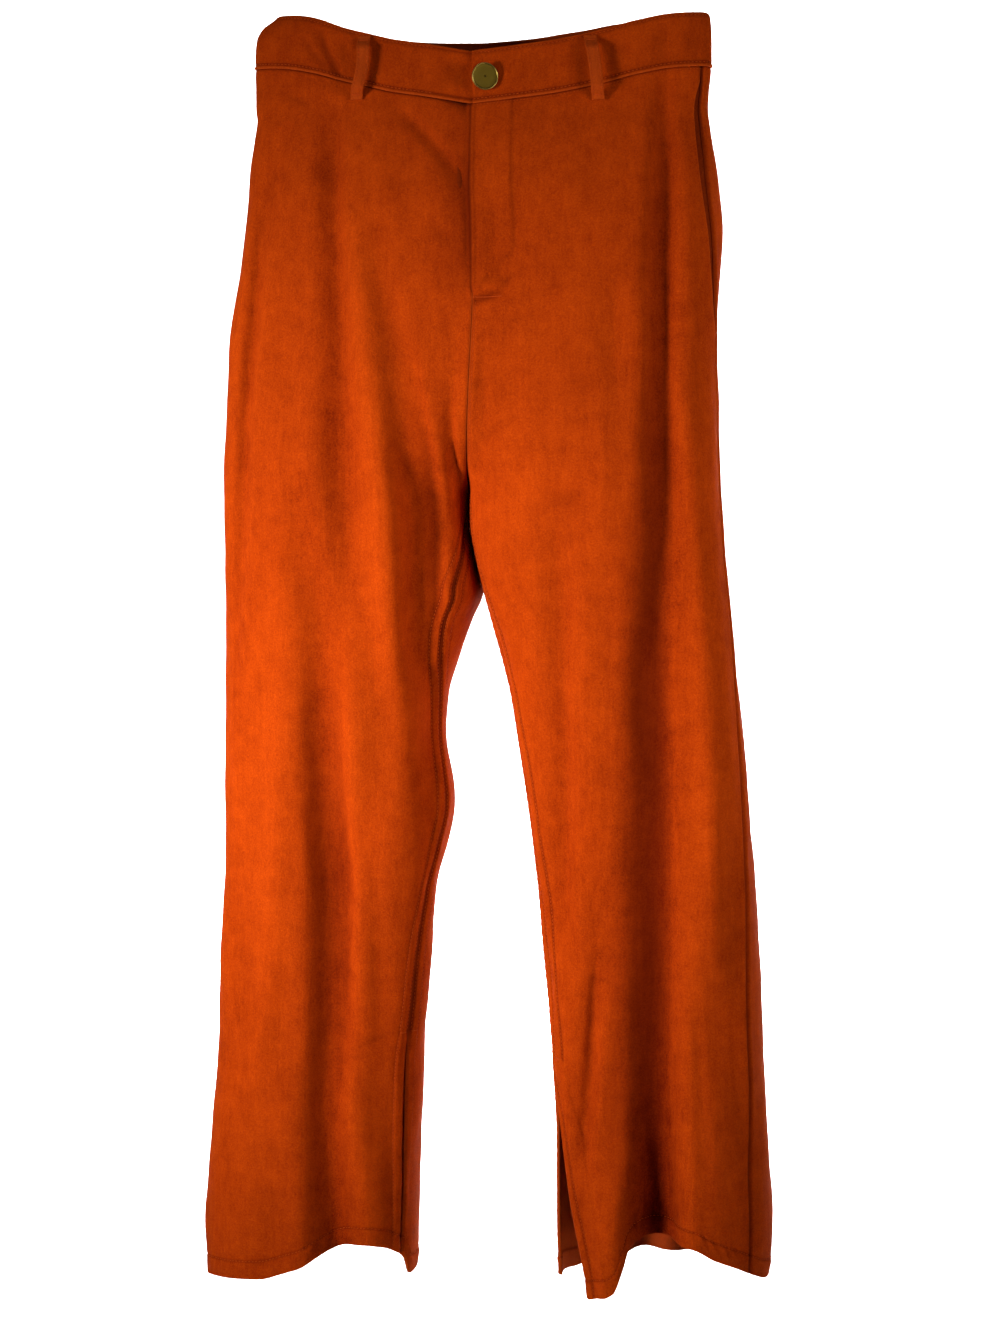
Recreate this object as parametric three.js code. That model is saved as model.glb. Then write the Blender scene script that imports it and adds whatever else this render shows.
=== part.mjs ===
// Suede-finish trousers, high waist, straight leg with a slit at each inner hem, hung from the
// waistband. Millimetres, +Z up, the wearer's front faces -Y and the wearer's left is +X.
// Origin: the middle of the waist opening, level with the band's top edge at the centre front.
//
// Every panel lies on one family of sections. At a height z each side of the garment has a
// rounded section, a superellipse measured by an angle: 0 at the outer side, 90 at the front,
// 180 at the inner side, 270 at the back. Above the crotch the section stops at the centre
// line, and below it the section closes into a leg. Folds push that surface inwards.

import * as THREE from 'three';

const RAD = Math.PI / 180;

// ------------------------------------------------------------------------- driving sizes
const CLOTH = 1.4; // one ply of the cloth
const SEAM_GAP = 0.3; // clear distance between neighbouring pieces
const BAND_HEIGHT = 39.7; // waistband, top edge to lower edge
const BAND_THICK = 2.8; // two plies and the stiffening between them
const BAND_PROUD = 0.7; // the band's face stands this far outside the panels
const BAND_UNDERLAP = 34; // length of the band's under end past the centre front
const CLIMB_FADE = 230; // the band's climb to the sides dies away over this height below it
const ROUNDNESS = 2.3; // exponent of the rounded sections, 2 is an ellipse
const CROTCH = -343; // height of the point where the four panels meet
const FORK_FRONT = 150; // height of the curved part of the front seam above the crotch
const FORK_BACK = 190; // the same at the back
const HEM = -973; // mean height of the hem
const HEM_TURN = 15; // depth of the hem turned inside
const HEM_FADE = 190; // the wave of the hem dies away over this height
const SLIT_PLUS = -794; // top of the slit, +X leg
const SLIT_MINUS = -779; // top of the slit, -X leg
const COLUMNS = 20; // strips across a panel
const FLY_LENGTH = 146; // from the band's lower edge to the end of the fly
const LOOP_WIDTH = 10; // belt loop
const LOOP_THICK = 2; // belt loop, folded strip
const LOOP_BOW = 8.4; // space behind the middle of a belt loop
const LOOP_BEND = 0.22; // share of a loop's length over which each end bends away
const LOOP_ROUNDING = 0.08; // fall of its face toward the edges
const SHIELD_ROUND_END = 0.2; // share of the fly shield's length that rounds off at its foot
const LOOP_SEAT = 0.35; // clear distance under the sewn ends of a belt loop
const LOOP_TOP = -3; // level of its upper end
const LOOP_BOTTOM = -53; // level of its lower end
const POCKET_TOP = -44; // level of the pocket's upper edge
const POCKET_BOTTOM = -282; // level of its lowest row
const POCKET_COLUMNS = 11; // strips of the front panel that the pocket lies behind
const POCKET_INSET = CLOTH + 0.5; // depth of the pocket's face below the surface
const POCKET_THICK = 1; // facing and bag together
const POCKET_PAST = 2.5; // degrees that the pocket reaches past the side seam
const POCKET_SINK = 0.8; // extra depth at that edge, clear of the back panel
const BAND_STATIONS = 66; // strips round the waistband
const BAND_TUCK = 4; // strips over which the under end slips beneath the upper one
const BAND_MIDDLE = -20; // level at which lengths round the band are measured
const BAND_EDGE = 0.6; // rounding of the band's top and lower edges
const BUTTON_X = 6.7; // place of the waist button's shank
const BUTTON_LEVEL = -22;
const BUTTON_TURN = 24; // degrees by which the pull of the band turns its face to the +X side
const BUTTON_LIFT = 1.7; // clear height of the middle of its foot above the band
const BUTTON_RADIUS = 10.5; // its head
const BUTTON_SEGMENTS = 28;
const FLY_TOP = -BAND_HEIGHT - 1.2; // level of the fly parts' upper ends
const FLY_ROWS = 8; // strips down each fly part
const FLY_END = -BAND_HEIGHT - FLY_LENGTH; // level of their lower ends
const CHAIN_NEAR = CLOTH + 0.5; // depth of the zip chain's face below the surface
const CHAIN_THICK = 2;
const TAPE_NEAR = CHAIN_NEAR + 2.3; // depth of the zip tape's face
const TAPE_THICK = 1;
const SHIELD_NEAR = TAPE_NEAR + 1.3; // depth of the fly shield's face
const SHIELD_THICK = 2;
const SHIELD_ROUNDING = 10; // the shield narrows by this at its lower end

// ------------------------------------------------------------------------- tables
// Rows are numbers in the order of the names. `plus` and `minus` are the sides towards +X,
// the wearer's left, and -X.
function table(names, rows) {
  return { names, rows: [...rows].sort((a, b) => a[0] - b[0]) };
}

// Reach of the outer side on each side of the centre plane, depth in front and behind.
const OUTLINE = table(['z', 'plus', 'minus', 'front', 'back'], [
  [36, 158, 164, 25, 28],
  [31, 168, 170, 26, 30],
  [25, 176.5, 178.5, 27, 31],
  [16, 178, 183, 28, 32],
  [0, 178.5, 184.5, 28, 33],
  [-20, 178.5, 185, 30, 36],
  [-38, 177.5, 185, 33, 40],
  [-45, 177, 184, 35, 42],
  [-60, 178.5, 186, 40, 48],
  [-85, 181.5, 190, 46, 57],
  [-110, 183.5, 192, 52, 64],
  [-155, 186, 198.5, 58, 72],
  [-205, 186, 205.5, 62, 78],
  [-235, 185.5, 209, 64, 80],
  [-265, 186.5, 211.5, 65, 80],
  [-300, 188, 212.3, 65, 79],
  [-340, 190, 212.8, 64, 77],
  [-385, 193.5, 213, 62, 73],
  [-440, 200, 213.5, 58, 67],
  [-500, 206.2, 214.2, 55, 62],
  [-590, 215.2, 215.2, 51, 56],
  [-660, 221, 218, 49, 54],
  [-750, 224.5, 223, 48, 54],
  [-860, 232.5, 230.5, 50, 57],
  [-920, 235, 236.5, 52, 60],
  [-960, 233.5, 239.5, 53, 61],
  [-990, 230.5, 238, 54, 62],
]);

// Climb of the band above its lowest point at the centre front: `across` runs from the
// centre line, 0, to the side, 1.
const CLIMB = table(['across', 'frontPlus', 'frontMinus', 'backPlus', 'backMinus'], [
  [0, 0, 0, 15, 15],
  [0.2, 3.5, 6.5, 17, 16],
  [0.35, 6.5, 11, 20, 18],
  [0.45, 9.5, 15.5, 22, 20.5],
  [0.57, 14, 21, 25, 24],
  [0.7, 20, 28, 26.5, 28],
  [0.85, 25, 33, 27, 32.5],
  [1, 27, 35, 27, 35],
]);

// Line of the front and back centre seams.
const CENTRE = table(['z', 'x'], [
  [40, -4],
  [0, -3.7],
  [-42, -1.8],
  [-96, 0.1],
  [-143, 2.9],
  [-184, 3.4],
  [-255, 0.7],
  [-299, -2.8],
  [-328, -7.4],
  [-343, -9.4],
]);

// Inner side of each leg, and the angle at which its inner seam runs.
const LEGS = table(['z', 'plus', 'minus', 'seamPlus', 'seamMinus'], [
  [-343, -9.25, -9.55, 180, 180],
  [-363, -8.6, -11.6, 180, 172],
  [-388, -5, -7.5, 180, 160],
  [-419, 1.6, -1.6, 177, 146],
  [-443, 8, -11.5, 176, 148],
  [-473, 16.5, -22, 175, 155],
  [-503, 24, -31, 174, 168],
  [-533, 29, -33.5, 173, 172],
  [-593, 38, -25.5, 173, 166],
  [-628, 42.5, -31.5, 173, 163],
  [-663, 46.5, -40, 173, 162],
  [-703, 49.5, -43.5, 173, 157],
  [-753, 54.5, -45.5, 173, 152],
  [-803, 59, -50.5, 173, 151],
  [-863, 62, -53, 173, 152],
  [-923, 62.5, -56, 173, 155],
  [-993, 64.5, -60.5, 173, 157],
]);

// Angle of the side seam, and how far the pocket mouth on it stands open.
const SIDES = table(['z', 'plus', 'minus', 'mouthPlus', 'mouthMinus'], [
  [36, 14, 0, 0, 0],
  [-43, 16, 0, 0, 0],
  [-65, 16, 0, 4, 2.5],
  [-110, 15, 0, 6.5, 4],
  [-160, 10, -2, 6.5, 4],
  [-205, 6, -4, 4.5, 3],
  [-232, 4, -4, 0, 0],
  [-430, 8, -6, 0, 0],
  [-560, 16, -8, 0, 0],
  [-660, 22, -8, 0, 0],
  [-800, 27, -8, 0, 0],
  [-900, 34, -8, 0, 0],
  [-990, 32, -8, 0, 0],
]);

// Angle by which the slit's front and back edges draw back from the seam line.
const SLITS = table(['z', 'frontPlus', 'backPlus', 'frontMinus', 'backMinus'], [
  [-779, 0, 0, 0, 0],
  [-794, 0, 0, 0.5, 0.5],
  [-845, 14, 1, 1.5, 1],
  [-900, 28, 2, 2.5, 1],
  [-960, 43, 3, 3, 1],
  [-993, 47, 3, 3, 1],
]);

// Height of the hem above its mean level, by angle round the leg.
const HEM_WAVE = table(['angle', 'plus', 'minus'], [
  [-90, 0, 0],
  [-60, -5, -6],
  [-30, -6, -16],
  [-12, 0, -24],
  [10, 4, -25],
  [30, 12, -21],
  [45, 20, -18],
  [60, 28, -15.5],
  [75, 38, -13],
  [85, 38, -7],
  [93, 38, 0],
  [99, 34, 6],
  [104, 15, 10],
  [108, -1, 12],
  [118, -8, 17],
  [127, -12, 18.5],
  [138, -11, 16],
  [150, -10, 10],
  [160, -10, 3],
  [172, -9, -15],
  [185, -10, -15],
  [210, -14, -14],
  [240, -8, -6],
  [270, 0, 0],
]);

// Folds: the line a fold follows, the depth of its valley (minus is a ridge) and its width.
const FOLDS = {
  front: [
    [ // from the pocket to the hem, +X leg
      [148, -30, 2.5, 10], [149, -119, 6, 10], [150, -193, 7, 10], [154, -306, 7, 11],
      [160, -387, 7, 13], [158, -511, 7.5, 20], [154, -621, 8, 20], [152, -732, 11, 15],
      [150, -850, 17, 16], [150, -925, 24, 17], [149, -993, 29, 18],
    ],
    [ // tongue of the +X front beside that fold, at the slit
      [112, -870, 0, 15], [111, -930, -5, 15], [110, -993, -8, 15],
    ],
    [ // middle of the +X thigh
      [69, -342, 0, 12], [71, -430, 4, 12], [71, -529, 5, 12], [67, -656, 4, 12],
      [75, -730, 0, 12],
    ],
    [ // inner half of the +X shin, towards the slit
      [104, -690, 0, 9], [96, -760, 4, 9], [88, -850, 5, 9], [86, -900, 0, 9],
    ],
    [ // along the -X side
      [-154, -54, 1.5, 9], [-165, -110, 4, 9], [-175, -171, 4.5, 8], [-182, -234, 4.5, 8],
      [-186, -296, 4, 8], [-188, -391, 2, 8], [-189, -440, 0, 8],
    ],
    [ // below the -X belt loop
      [-115, -30, 0.5, 10], [-114, -73, 4, 10], [-111, -134, 5.5, 11], [-107, -218, 6.5, 12],
      [-102, -302, 6, 12], [-96, -390, 4, 12], [-94, -454, 0, 12],
    ],
    [ // -X leg, thigh to hem
      [-122, -391, 0, 12], [-121, -438, 4, 12], [-121, -534, 7, 13], [-119, -607, 8, 13],
      [-116, -664, 8, 13], [-116, -746, 8, 13], [-120, -829, 10, 14], [-114, -949, 16, 16],
      [-113, -990, 18, 16],
    ],
    [ // ridge down the -X thigh
      [-96, -100, 0, 12], [-90, -160, -3, 12], [-77, -252, -4, 12], [-72, -302, -4, 12],
      [-66, -416, -4, 12], [-58, -537, -2, 12], [-58, -600, 0, 12],
    ],
    [ // towards the crotch
      [-65, -172, 0, 12], [-55, -225, 3, 12], [-48, -305, 5, 12], [-45, -343, 6, 12],
      [-42, -397, 6, 12], [-41, -439, 4, 12], [-43, -503, 0, 12],
    ],
  ],
  back: [
    [
      [128, -170, 0, 14], [130, -260, 6, 14], [136, -400, 9, 16], [140, -560, 9, 18],
      [146, -720, 11, 18], [150, -880, 15, 18], [150, -990, 18, 18],
    ],
    [
      [66, -260, 0, 13], [62, -320, 6, 13], [66, -430, 7, 13], [78, -600, 4, 14],
      [92, -700, 0, 14],
    ],
    [
      [98, -640, 0, 14], [98, -760, 5, 14], [102, -900, 9, 14], [104, -990, 11, 14],
    ],
    [
      [-132, -150, 0, 14], [-136, -260, 6, 14], [-140, -400, 9, 16], [-142, -560, 9, 18],
      [-146, -720, 10, 18], [-150, -880, 13, 18], [-152, -990, 15, 18],
    ],
    [
      [-62, -270, 0, 13], [-58, -330, 6, 13], [-66, -430, 7, 13], [-84, -600, 4, 14],
      [-92, -700, 0, 14],
    ],
    [
      [-100, -650, 0, 14], [-102, -770, 5, 14], [-104, -900, 8, 14], [-104, -990, 10, 14],
    ],
  ],
};
// Profile of the waist button: distance from its axis and height above the band.
const BUTTON_PROFILE = [
  [0, 0], [2.5, 0], [2.5, 3.6], [9.3, 3.7], [10.3, 4.4], [BUTTON_RADIUS, 5.2], [10, 6.1],
  [9.2, 6.4], [8.5, 6.1], [7.5, 5.7], [4.5, 5.9], [0, 6],
];

const FOLD_MARGIN = 26; // folds die away over this distance from a seam

// ------------------------------------------------------------------------- small maths
const clamp = (v, a, b) => Math.min(b, Math.max(a, v));
const mix = (a, b, t) => a + (b - a) * t;
const ease = (t) => {
  const k = clamp(t, 0, 1);
  return k * k * (3 - 2 * k);
};

// Cubic through the rows of a table that never overshoots them.
function along(rows, key, column) {
  const last = rows.length - 1;
  const at = clamp(key, rows[0][0], rows[last][0]);
  let i = 0;
  while (i < last - 1 && rows[i + 1][0] < at) i += 1;
  const slope = (j) => (rows[j + 1][column] - rows[j][column]) / (rows[j + 1][0] - rows[j][0]);
  const tangent = (j) => {
    if (j === 0) return slope(0);
    if (j === last) return slope(last - 1);
    const a = slope(j - 1);
    const b = slope(j);
    return a * b > 0 ? (2 * a * b) / (a + b) : 0;
  };
  const h = rows[i + 1][0] - rows[i][0];
  const t = (at - rows[i][0]) / h;
  const rise = (3 - 2 * t) * t * t;
  return mix(rows[i][column], rows[i + 1][column], rise)
    + h * t * (1 - t) * ((1 - t) * tangent(i) - t * tangent(i + 1));
}

const pick = (tab, key, name) => along(tab.rows, key, tab.names.indexOf(name));
const bySide = (side, name) => name + (side > 0 ? 'Plus' : 'Minus');

const power = (v) => Math.sign(v) * Math.abs(v) ** (2 / ROUNDNESS);
const roundCos = (angle) => power(Math.cos(angle * RAD));
const roundSin = (angle) => power(Math.sin(angle * RAD));

// ------------------------------------------------------------------------- sections
function innerSide(side, z) {
  if (z < CROTCH) return pick(LEGS, z, side > 0 ? 'plus' : 'minus');
  return pick(CENTRE, z, 'x') + (side * SEAM_GAP) / 2;
}

// Angle at which the section meets the centre line: 90 above the fork, 180 at the crotch.
// The section's half width grows smoothly from half of the way across to all of it.
function forkAngle(z, height) {
  const half = 0.5 + 0.5 * ease((z - CROTCH) / height);
  return Math.acos(-((1 / half - 1) ** (ROUNDNESS / 2))) / RAD;
}

function sectionPoint(side, angle, z) {
  const s = roundSin(angle);
  const front = s >= 0;
  const reach = forkAngle(z, front ? FORK_FRONT : FORK_BACK);
  const outer = pick(OUTLINE, z, side > 0 ? 'plus' : 'minus');
  const depth = pick(OUTLINE, z, front ? 'front' : 'back');
  const half = (outer - side * innerSide(side, z)) / (1 - roundCos(reach));
  return [side * (outer - half + half * roundCos(angle)), -depth * s];
}

// How far the cloth climbs towards the side seams, for a level given at the centre front.
function climb(side, angle, level) {
  const face = Math.sin(angle * RAD) < 0 ? 'back' : 'front';
  return pick(CLIMB, Math.max(0, roundCos(angle)), bySide(side, face)) * climbFade(level);
}

function climbFade(level) {
  return 1 - ease((-level - BAND_HEIGHT) / CLIMB_FADE);
}

function hemWave(side, angle, level) {
  const turned = angle > 270 ? angle - 360 : angle;
  const wave = pick(HEM_WAVE, turned, side > 0 ? 'plus' : 'minus');
  return wave * ease((level - HEM - HEM_FADE) / -HEM_FADE);
}

// ------------------------------------------------------------------------- panel edges
// Angles of a panel's inner and outer edges at a level.
function edgeAngles(side, face, level) {
  const front = face === 'front';
  const seam = pick(SIDES, level, side > 0 ? 'plus' : 'minus');
  let inner;
  if (level > CROTCH) {
    const z = level + climb(side, front ? 90 : 270, level);
    const fork = forkAngle(z, front ? FORK_FRONT : FORK_BACK);
    inner = front ? fork : 360 - fork;
  } else {
    inner = pick(LEGS, level, bySide(side, 'seam'));
    const open = pick(SLITS, level, bySide(side, face));
    inner += front ? -open : open;
  }
  return front ? [inner, seam] : [inner, 360 + seam];
}

// ------------------------------------------------------------------------- folds
function foldDepth(lines, x, z) {
  let sum = 0;
  for (const line of lines) {
    const rows = line.map(([fx, fz, depth, width]) => [fz, fx, depth, width]).reverse();
    if (z > rows[rows.length - 1][0] || z < rows[0][0]) continue;
    const off = (x - along(rows, z, 1)) / along(rows, z, 3);
    if (Math.abs(off) > 4) continue;
    sum += along(rows, z, 2) * (1 - 0.5 * off * off) * Math.exp(-0.5 * off * off);
  }
  return sum;
}

// Point of the outer surface. `margin` scales the folds, 0 at a seam and 1 away from it.
function surfacePoint(side, angle, level, margin) {
  const z = level + climb(side, angle, level) + hemWave(side, angle, level);
  const [x, y] = sectionPoint(side, angle, z);
  const [x1, y1] = sectionPoint(side, angle + 0.6, z);
  const [x0, y0] = sectionPoint(side, angle - 0.6, z);
  const length = Math.hypot(x1 - x0, y1 - y0) || 1;
  const nx = (side * (y1 - y0)) / -length;
  const ny = (side * (x1 - x0)) / length;
  const push = margin * foldDepth(y < 0 ? FOLDS.front : FOLDS.back, x, z);
  return new THREE.Vector3(x - nx * push, y - ny * push, z);
}

// ------------------------------------------------------------------------- rows of a panel
const FORK_STEPS = [163, 140, 115, 90, 66, 42, 24, 11, 3, 0];

function panelLevels() {
  const levels = [-BAND_HEIGHT - SEAM_GAP, -62, -90, -122, -156];
  for (const step of FORK_STEPS) levels.push(CROTCH + step);
  const legs = [-362, -390, -418, -446, -476, -510, -546, -584, -622, -660, -698, -736, -776,
    -791, -826, -862, -898, -930];
  return [...levels, ...legs, HEM + HEM_TURN, HEM];
}

const LEVELS = panelLevels();

// Angles spread evenly by length between two angles, kept clear of the ends.
function spreadAngles(side, level, from, to, clearFrom, clearTo, count) {
  const steps = 160;
  const angles = [];
  const lengths = [0];
  for (let i = 0; i <= steps; i += 1) angles.push(mix(from, to, i / steps));
  let before = surfacePoint(side, angles[0], level, 0);
  for (let i = 1; i <= steps; i += 1) {
    const next = surfacePoint(side, angles[i], level, 0);
    lengths.push(lengths[i - 1] + next.distanceTo(before));
    before = next;
  }
  const total = lengths[steps];
  const out = [];
  for (let j = 0; j <= count; j += 1) {
    const want = mix(clearFrom, total - clearTo, j / count);
    let i = 1;
    while (i < steps && lengths[i] < want) i += 1;
    const t = (want - lengths[i - 1]) / (lengths[i] - lengths[i - 1]);
    const reach = Math.min(want, total - want);
    out.push({ angle: mix(angles[i - 1], angles[i], t), margin: ease(reach / FOLD_MARGIN) });
  }
  return out;
}

function outwardNormal(side, angle, level, margin) {
  const da = 0.8;
  const dz = 2;
  const across = surfacePoint(side, angle + da, level, margin)
    .sub(surfacePoint(side, angle - da, level, margin));
  const up = surfacePoint(side, angle, level + dz, margin)
    .sub(surfacePoint(side, angle, level - dz, margin));
  return across.cross(up).multiplyScalar(-side).normalize();
}

function panelRow(side, face, level) {
  const [inner, seam] = edgeAngles(side, face, level);
  const slit = side > 0 ? SLIT_PLUS : SLIT_MINUS;
  const seamClear = level <= CROTCH ? SEAM_GAP / 2 : 0;
  const mouth = face === 'front' ? pick(SIDES, level, bySide(side, 'mouth')) : 0;
  const nodes = spreadAngles(side, level, inner, seam, seamClear, SEAM_GAP / 2 + mouth, COLUMNS);
  return nodes.map(({ angle, margin }, column) => ({
    angle,
    level,
    margin,
    ply: level < HEM + HEM_TURN / 2 || (level < slit && column === 0) ? 2 : 1,
  }));
}

// ------------------------------------------------------------------------- solids
// Closed wall between two grids of points of the same size.
function wall(outer, inner) {
  const rows = outer.length;
  const cols = outer[0].length;
  const points = [...outer.flat(), ...inner.flat()];
  const id = (layer, r, c) => layer * rows * cols + r * cols + c;
  const faces = [];
  const quad = (a, b, c, d) => faces.push(a, b, c, a, c, d);
  for (let r = 0; r < rows - 1; r += 1) {
    for (let c = 0; c < cols - 1; c += 1) {
      quad(id(0, r, c), id(0, r + 1, c), id(0, r + 1, c + 1), id(0, r, c + 1));
      quad(id(1, r, c), id(1, r, c + 1), id(1, r + 1, c + 1), id(1, r + 1, c));
    }
  }
  for (let c = 0; c < cols - 1; c += 1) {
    quad(id(0, 0, c), id(0, 0, c + 1), id(1, 0, c + 1), id(1, 0, c));
    quad(id(0, rows - 1, c), id(1, rows - 1, c), id(1, rows - 1, c + 1), id(0, rows - 1, c + 1));
  }
  for (let r = 0; r < rows - 1; r += 1) {
    quad(id(0, r, 0), id(1, r, 0), id(1, r + 1, 0), id(0, r + 1, 0));
    quad(id(0, r, cols - 1), id(0, r + 1, cols - 1), id(1, r + 1, cols - 1), id(1, r, cols - 1));
  }
  return solid(points, faces);
}

function solid(points, faces) {
  let volume = 0;
  for (let i = 0; i < faces.length; i += 3) {
    const [a, b, c] = [points[faces[i]], points[faces[i + 1]], points[faces[i + 2]]];
    volume += a.dot(b.clone().cross(c));
  }
  const turned = volume < 0 ? flipped(faces) : faces;
  const geometry = new THREE.BufferGeometry();
  geometry.setAttribute('position', new THREE.Float32BufferAttribute(
    points.flatMap((p) => [p.x, p.y, p.z]), 3));
  geometry.setIndex(turned);
  geometry.computeVertexNormals();
  return geometry;
}

function flipped(faces) {
  const out = [];
  for (let i = 0; i < faces.length; i += 3) out.push(faces[i], faces[i + 2], faces[i + 1]);
  return out;
}

// A wall that follows the garment's surface between two depths below it.
function clothWall(side, rows, near, far) {
  const outer = [];
  const inner = [];
  for (const row of rows) {
    const frames = row.map((node) => ({
      point: surfacePoint(side, node.angle, node.level, node.margin),
      normal: outwardNormal(side, node.angle, node.level, node.margin),
      ply: node.ply,
      sink: node.sink || 0,
    }));
    outer.push(frames.map((f) => f.point.clone().addScaledVector(f.normal, -near - f.sink)));
    inner.push(frames.map((f) => f.point.clone()
      .addScaledVector(f.normal, -(near + (far - near) * f.ply + f.sink))));
  }
  return wall(outer, inner);
}

function panel(side, face) {
  return clothWall(side, LEVELS.map((level) => panelRow(side, face, level)), 0, CLOTH);
}

// Pocket: the leaf of facing and bag behind the front panel, reaching past the side seam.
function pocket(side) {
  const rows = [];
  for (const level of LEVELS) {
    if (level > -60 || level < POCKET_BOTTOM) continue;
    rows.push(pocketRow(side, level));
  }
  rows.unshift(pocketRow(side, POCKET_TOP));
  return clothWall(side, rows, POCKET_INSET, POCKET_INSET + POCKET_THICK);
}

function pocketRow(side, level) {
  const row = panelRow(side, 'front', level).slice(COLUMNS - POCKET_COLUMNS);
  const [, seam] = edgeAngles(side, 'front', level);
  const last = row[row.length - 1].angle;
  for (const t of [0.5, 1]) {
    const angle = mix(last, seam - POCKET_PAST, t);
    row.push({ angle, level, margin: 0, sink: POCKET_SINK * t });
  }
  return row.map((node) => ({ ...node, ply: 1 }));
}

// Waistband: one strip round the waist, its outer end on top at the centre front.
function waistband() {
  const stations = [];
  const steps = 34;
  for (let i = 0; i <= steps; i += 1) stations.push([1, mix(90, -90, i / steps)]);
  for (let i = 1; i <= steps; i += 1) stations.push([-1, mix(-90, 90, i / steps)]);
  const even = evenStations(stations, BAND_STATIONS);
  const tuck = BAND_THICK + SEAM_GAP;
  const start = even.length - 1 - BAND_TUCK;
  even.forEach((station, i) => station.push(tuck * ease((i - start) / BAND_TUCK)));
  for (const reach of [9, 17, 26, BAND_UNDERLAP]) {
    even.push([1, frontAngle(1, reach, BAND_MIDDLE), tuck]);
  }
  const outer = [];
  const inner = [];
  for (const level of [0, -4, -20, -36, -BAND_HEIGHT]) {
    const edge = level === 0 || level === -BAND_HEIGHT ? BAND_EDGE : 0;
    outer.push(even.map(([side, angle, inset]) => bandPoint(side, angle, level,
      inset - BAND_PROUD + edge)));
    inner.push(even.map(([side, angle, inset]) => bandPoint(side, angle, level,
      inset - BAND_PROUD + BAND_THICK - edge)));
  }
  return wall(outer, inner);
}

function bandPoint(side, angle, level, inset) {
  const point = surfacePoint(side, angle, level, 0);
  const normal = outwardNormal(side, angle, level, 0);
  normal.z = 0;
  return point.addScaledVector(normal.normalize(), -inset);
}

function evenStations(stations, count) {
  const points = stations.map(([side, angle]) => surfacePoint(side, angle, BAND_MIDDLE, 0));
  const lengths = [0];
  for (let i = 1; i < points.length; i += 1) {
    lengths.push(lengths[i - 1] + points[i].distanceTo(points[i - 1]));
  }
  const out = [];
  for (let j = 0; j <= count; j += 1) {
    const want = (lengths[lengths.length - 1] * j) / count;
    let i = 1;
    while (i < lengths.length - 1 && lengths[i] < want) i += 1;
    const t = (want - lengths[i - 1]) / (lengths[i] - lengths[i - 1]);
    const [sideA, angleA] = stations[i - 1];
    const [sideB, angleB] = stations[i];
    out.push(sideA === sideB ? [sideA, mix(angleA, angleB, t)] : [sideB, angleB]);
  }
  return out;
}

// Angle on the front or back of a side at which the surface has a given x.
function frontAngle(side, x, level) {
  return findAngle(side, x, level, 0, 90);
}

function backAngle(side, x, level) {
  return findAngle(side, x, level, 0, -90);
}

function findAngle(side, x, level, outerEnd, middle) {
  let a = outerEnd;
  let b = middle;
  for (let i = 0; i < 40; i += 1) {
    const c = (a + b) / 2;
    if (side * surfacePoint(side, c, level, 0).x > side * x) a = c;
    else b = c;
  }
  return (a + b) / 2;
}

// ------------------------------------------------------------------------- trim
// Belt loop: a strip sewn at the band's top edge and below its lower edge, bowed outwards.
function beltLoop(side, topX, bottomX, find) {
  const steps = 12;
  const outer = [];
  const inner = [];
  for (let i = 0; i <= steps; i += 1) {
    const t = i / steps;
    const level = mix(LOOP_TOP, LOOP_BOTTOM, t);
    const angle = find(side, mix(topX, bottomX, t), level);
    const base = surfacePoint(side, angle, level, 1);
    const normal = outwardNormal(side, angle, level, 0);
    normal.z = 0;
    normal.normalize();
    const acrossDir = new THREE.Vector3(-normal.y, normal.x, 0);
    const rest = mix(BAND_PROUD, LOOP_SEAT, ease((t - 0.7) / 0.18)) + LOOP_SEAT;
    const bow = LOOP_BOW * ease(Math.min(t, 1 - t) / LOOP_BEND);
    const place = (lift, shift) => base.clone().addScaledVector(normal, lift)
      .addScaledVector(acrossDir, shift);
    const widths = [-LOOP_WIDTH / 2, -LOOP_WIDTH / 4, LOOP_WIDTH / 4, LOOP_WIDTH / 2];
    inner.push(widths.map((w) => place(rest + bow, w)));
    outer.push(widths.map((w) => place(rest + bow + LOOP_THICK - Math.abs(w) * LOOP_ROUNDING, w)));
  }
  return wall(outer, inner);
}

// Waist button: a round head with a raised rim on a shank, leaning with the pull of the band.
function button() {
  const angle = frontAngle(1, BUTTON_X, BUTTON_LEVEL);
  const foot = bandPoint(1, angle, BUTTON_LEVEL, -BAND_PROUD - BUTTON_LIFT);
  const profile = BUTTON_PROFILE.map(([x, y]) => new THREE.Vector2(x, y));
  const segments = BUTTON_SEGMENTS;
  const points = [];
  const faces = [];
  const up = new THREE.Vector3(0, 0, 1);
  const normal = outwardNormal(1, angle, BUTTON_LEVEL, 0).setZ(0).normalize()
    .applyAxisAngle(up, BUTTON_TURN * RAD);
  const acrossDir = new THREE.Vector3(-normal.y, normal.x, 0);
  points.push(foot.clone());
  for (let p = 1; p < profile.length - 1; p += 1) {
    for (let s = 0; s < segments; s += 1) {
      const turn = (2 * Math.PI * s) / segments;
      points.push(foot.clone().addScaledVector(normal, profile[p].y)
        .addScaledVector(acrossDir, profile[p].x * Math.cos(turn))
        .addScaledVector(up, profile[p].x * Math.sin(turn)));
    }
  }
  points.push(foot.clone().addScaledVector(normal, profile[profile.length - 1].y));
  const ring = (p, s) => 1 + (p - 1) * segments + (s % segments);
  for (let s = 0; s < segments; s += 1) {
    faces.push(0, ring(1, s + 1), ring(1, s));
    for (let p = 1; p < profile.length - 2; p += 1) {
      faces.push(ring(p, s), ring(p, s + 1), ring(p + 1, s + 1));
      faces.push(ring(p, s), ring(p + 1, s + 1), ring(p + 1, s));
    }
    faces.push(points.length - 1, ring(profile.length - 2, s), ring(profile.length - 2, s + 1));
  }
  return solid(points, faces);
}

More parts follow.
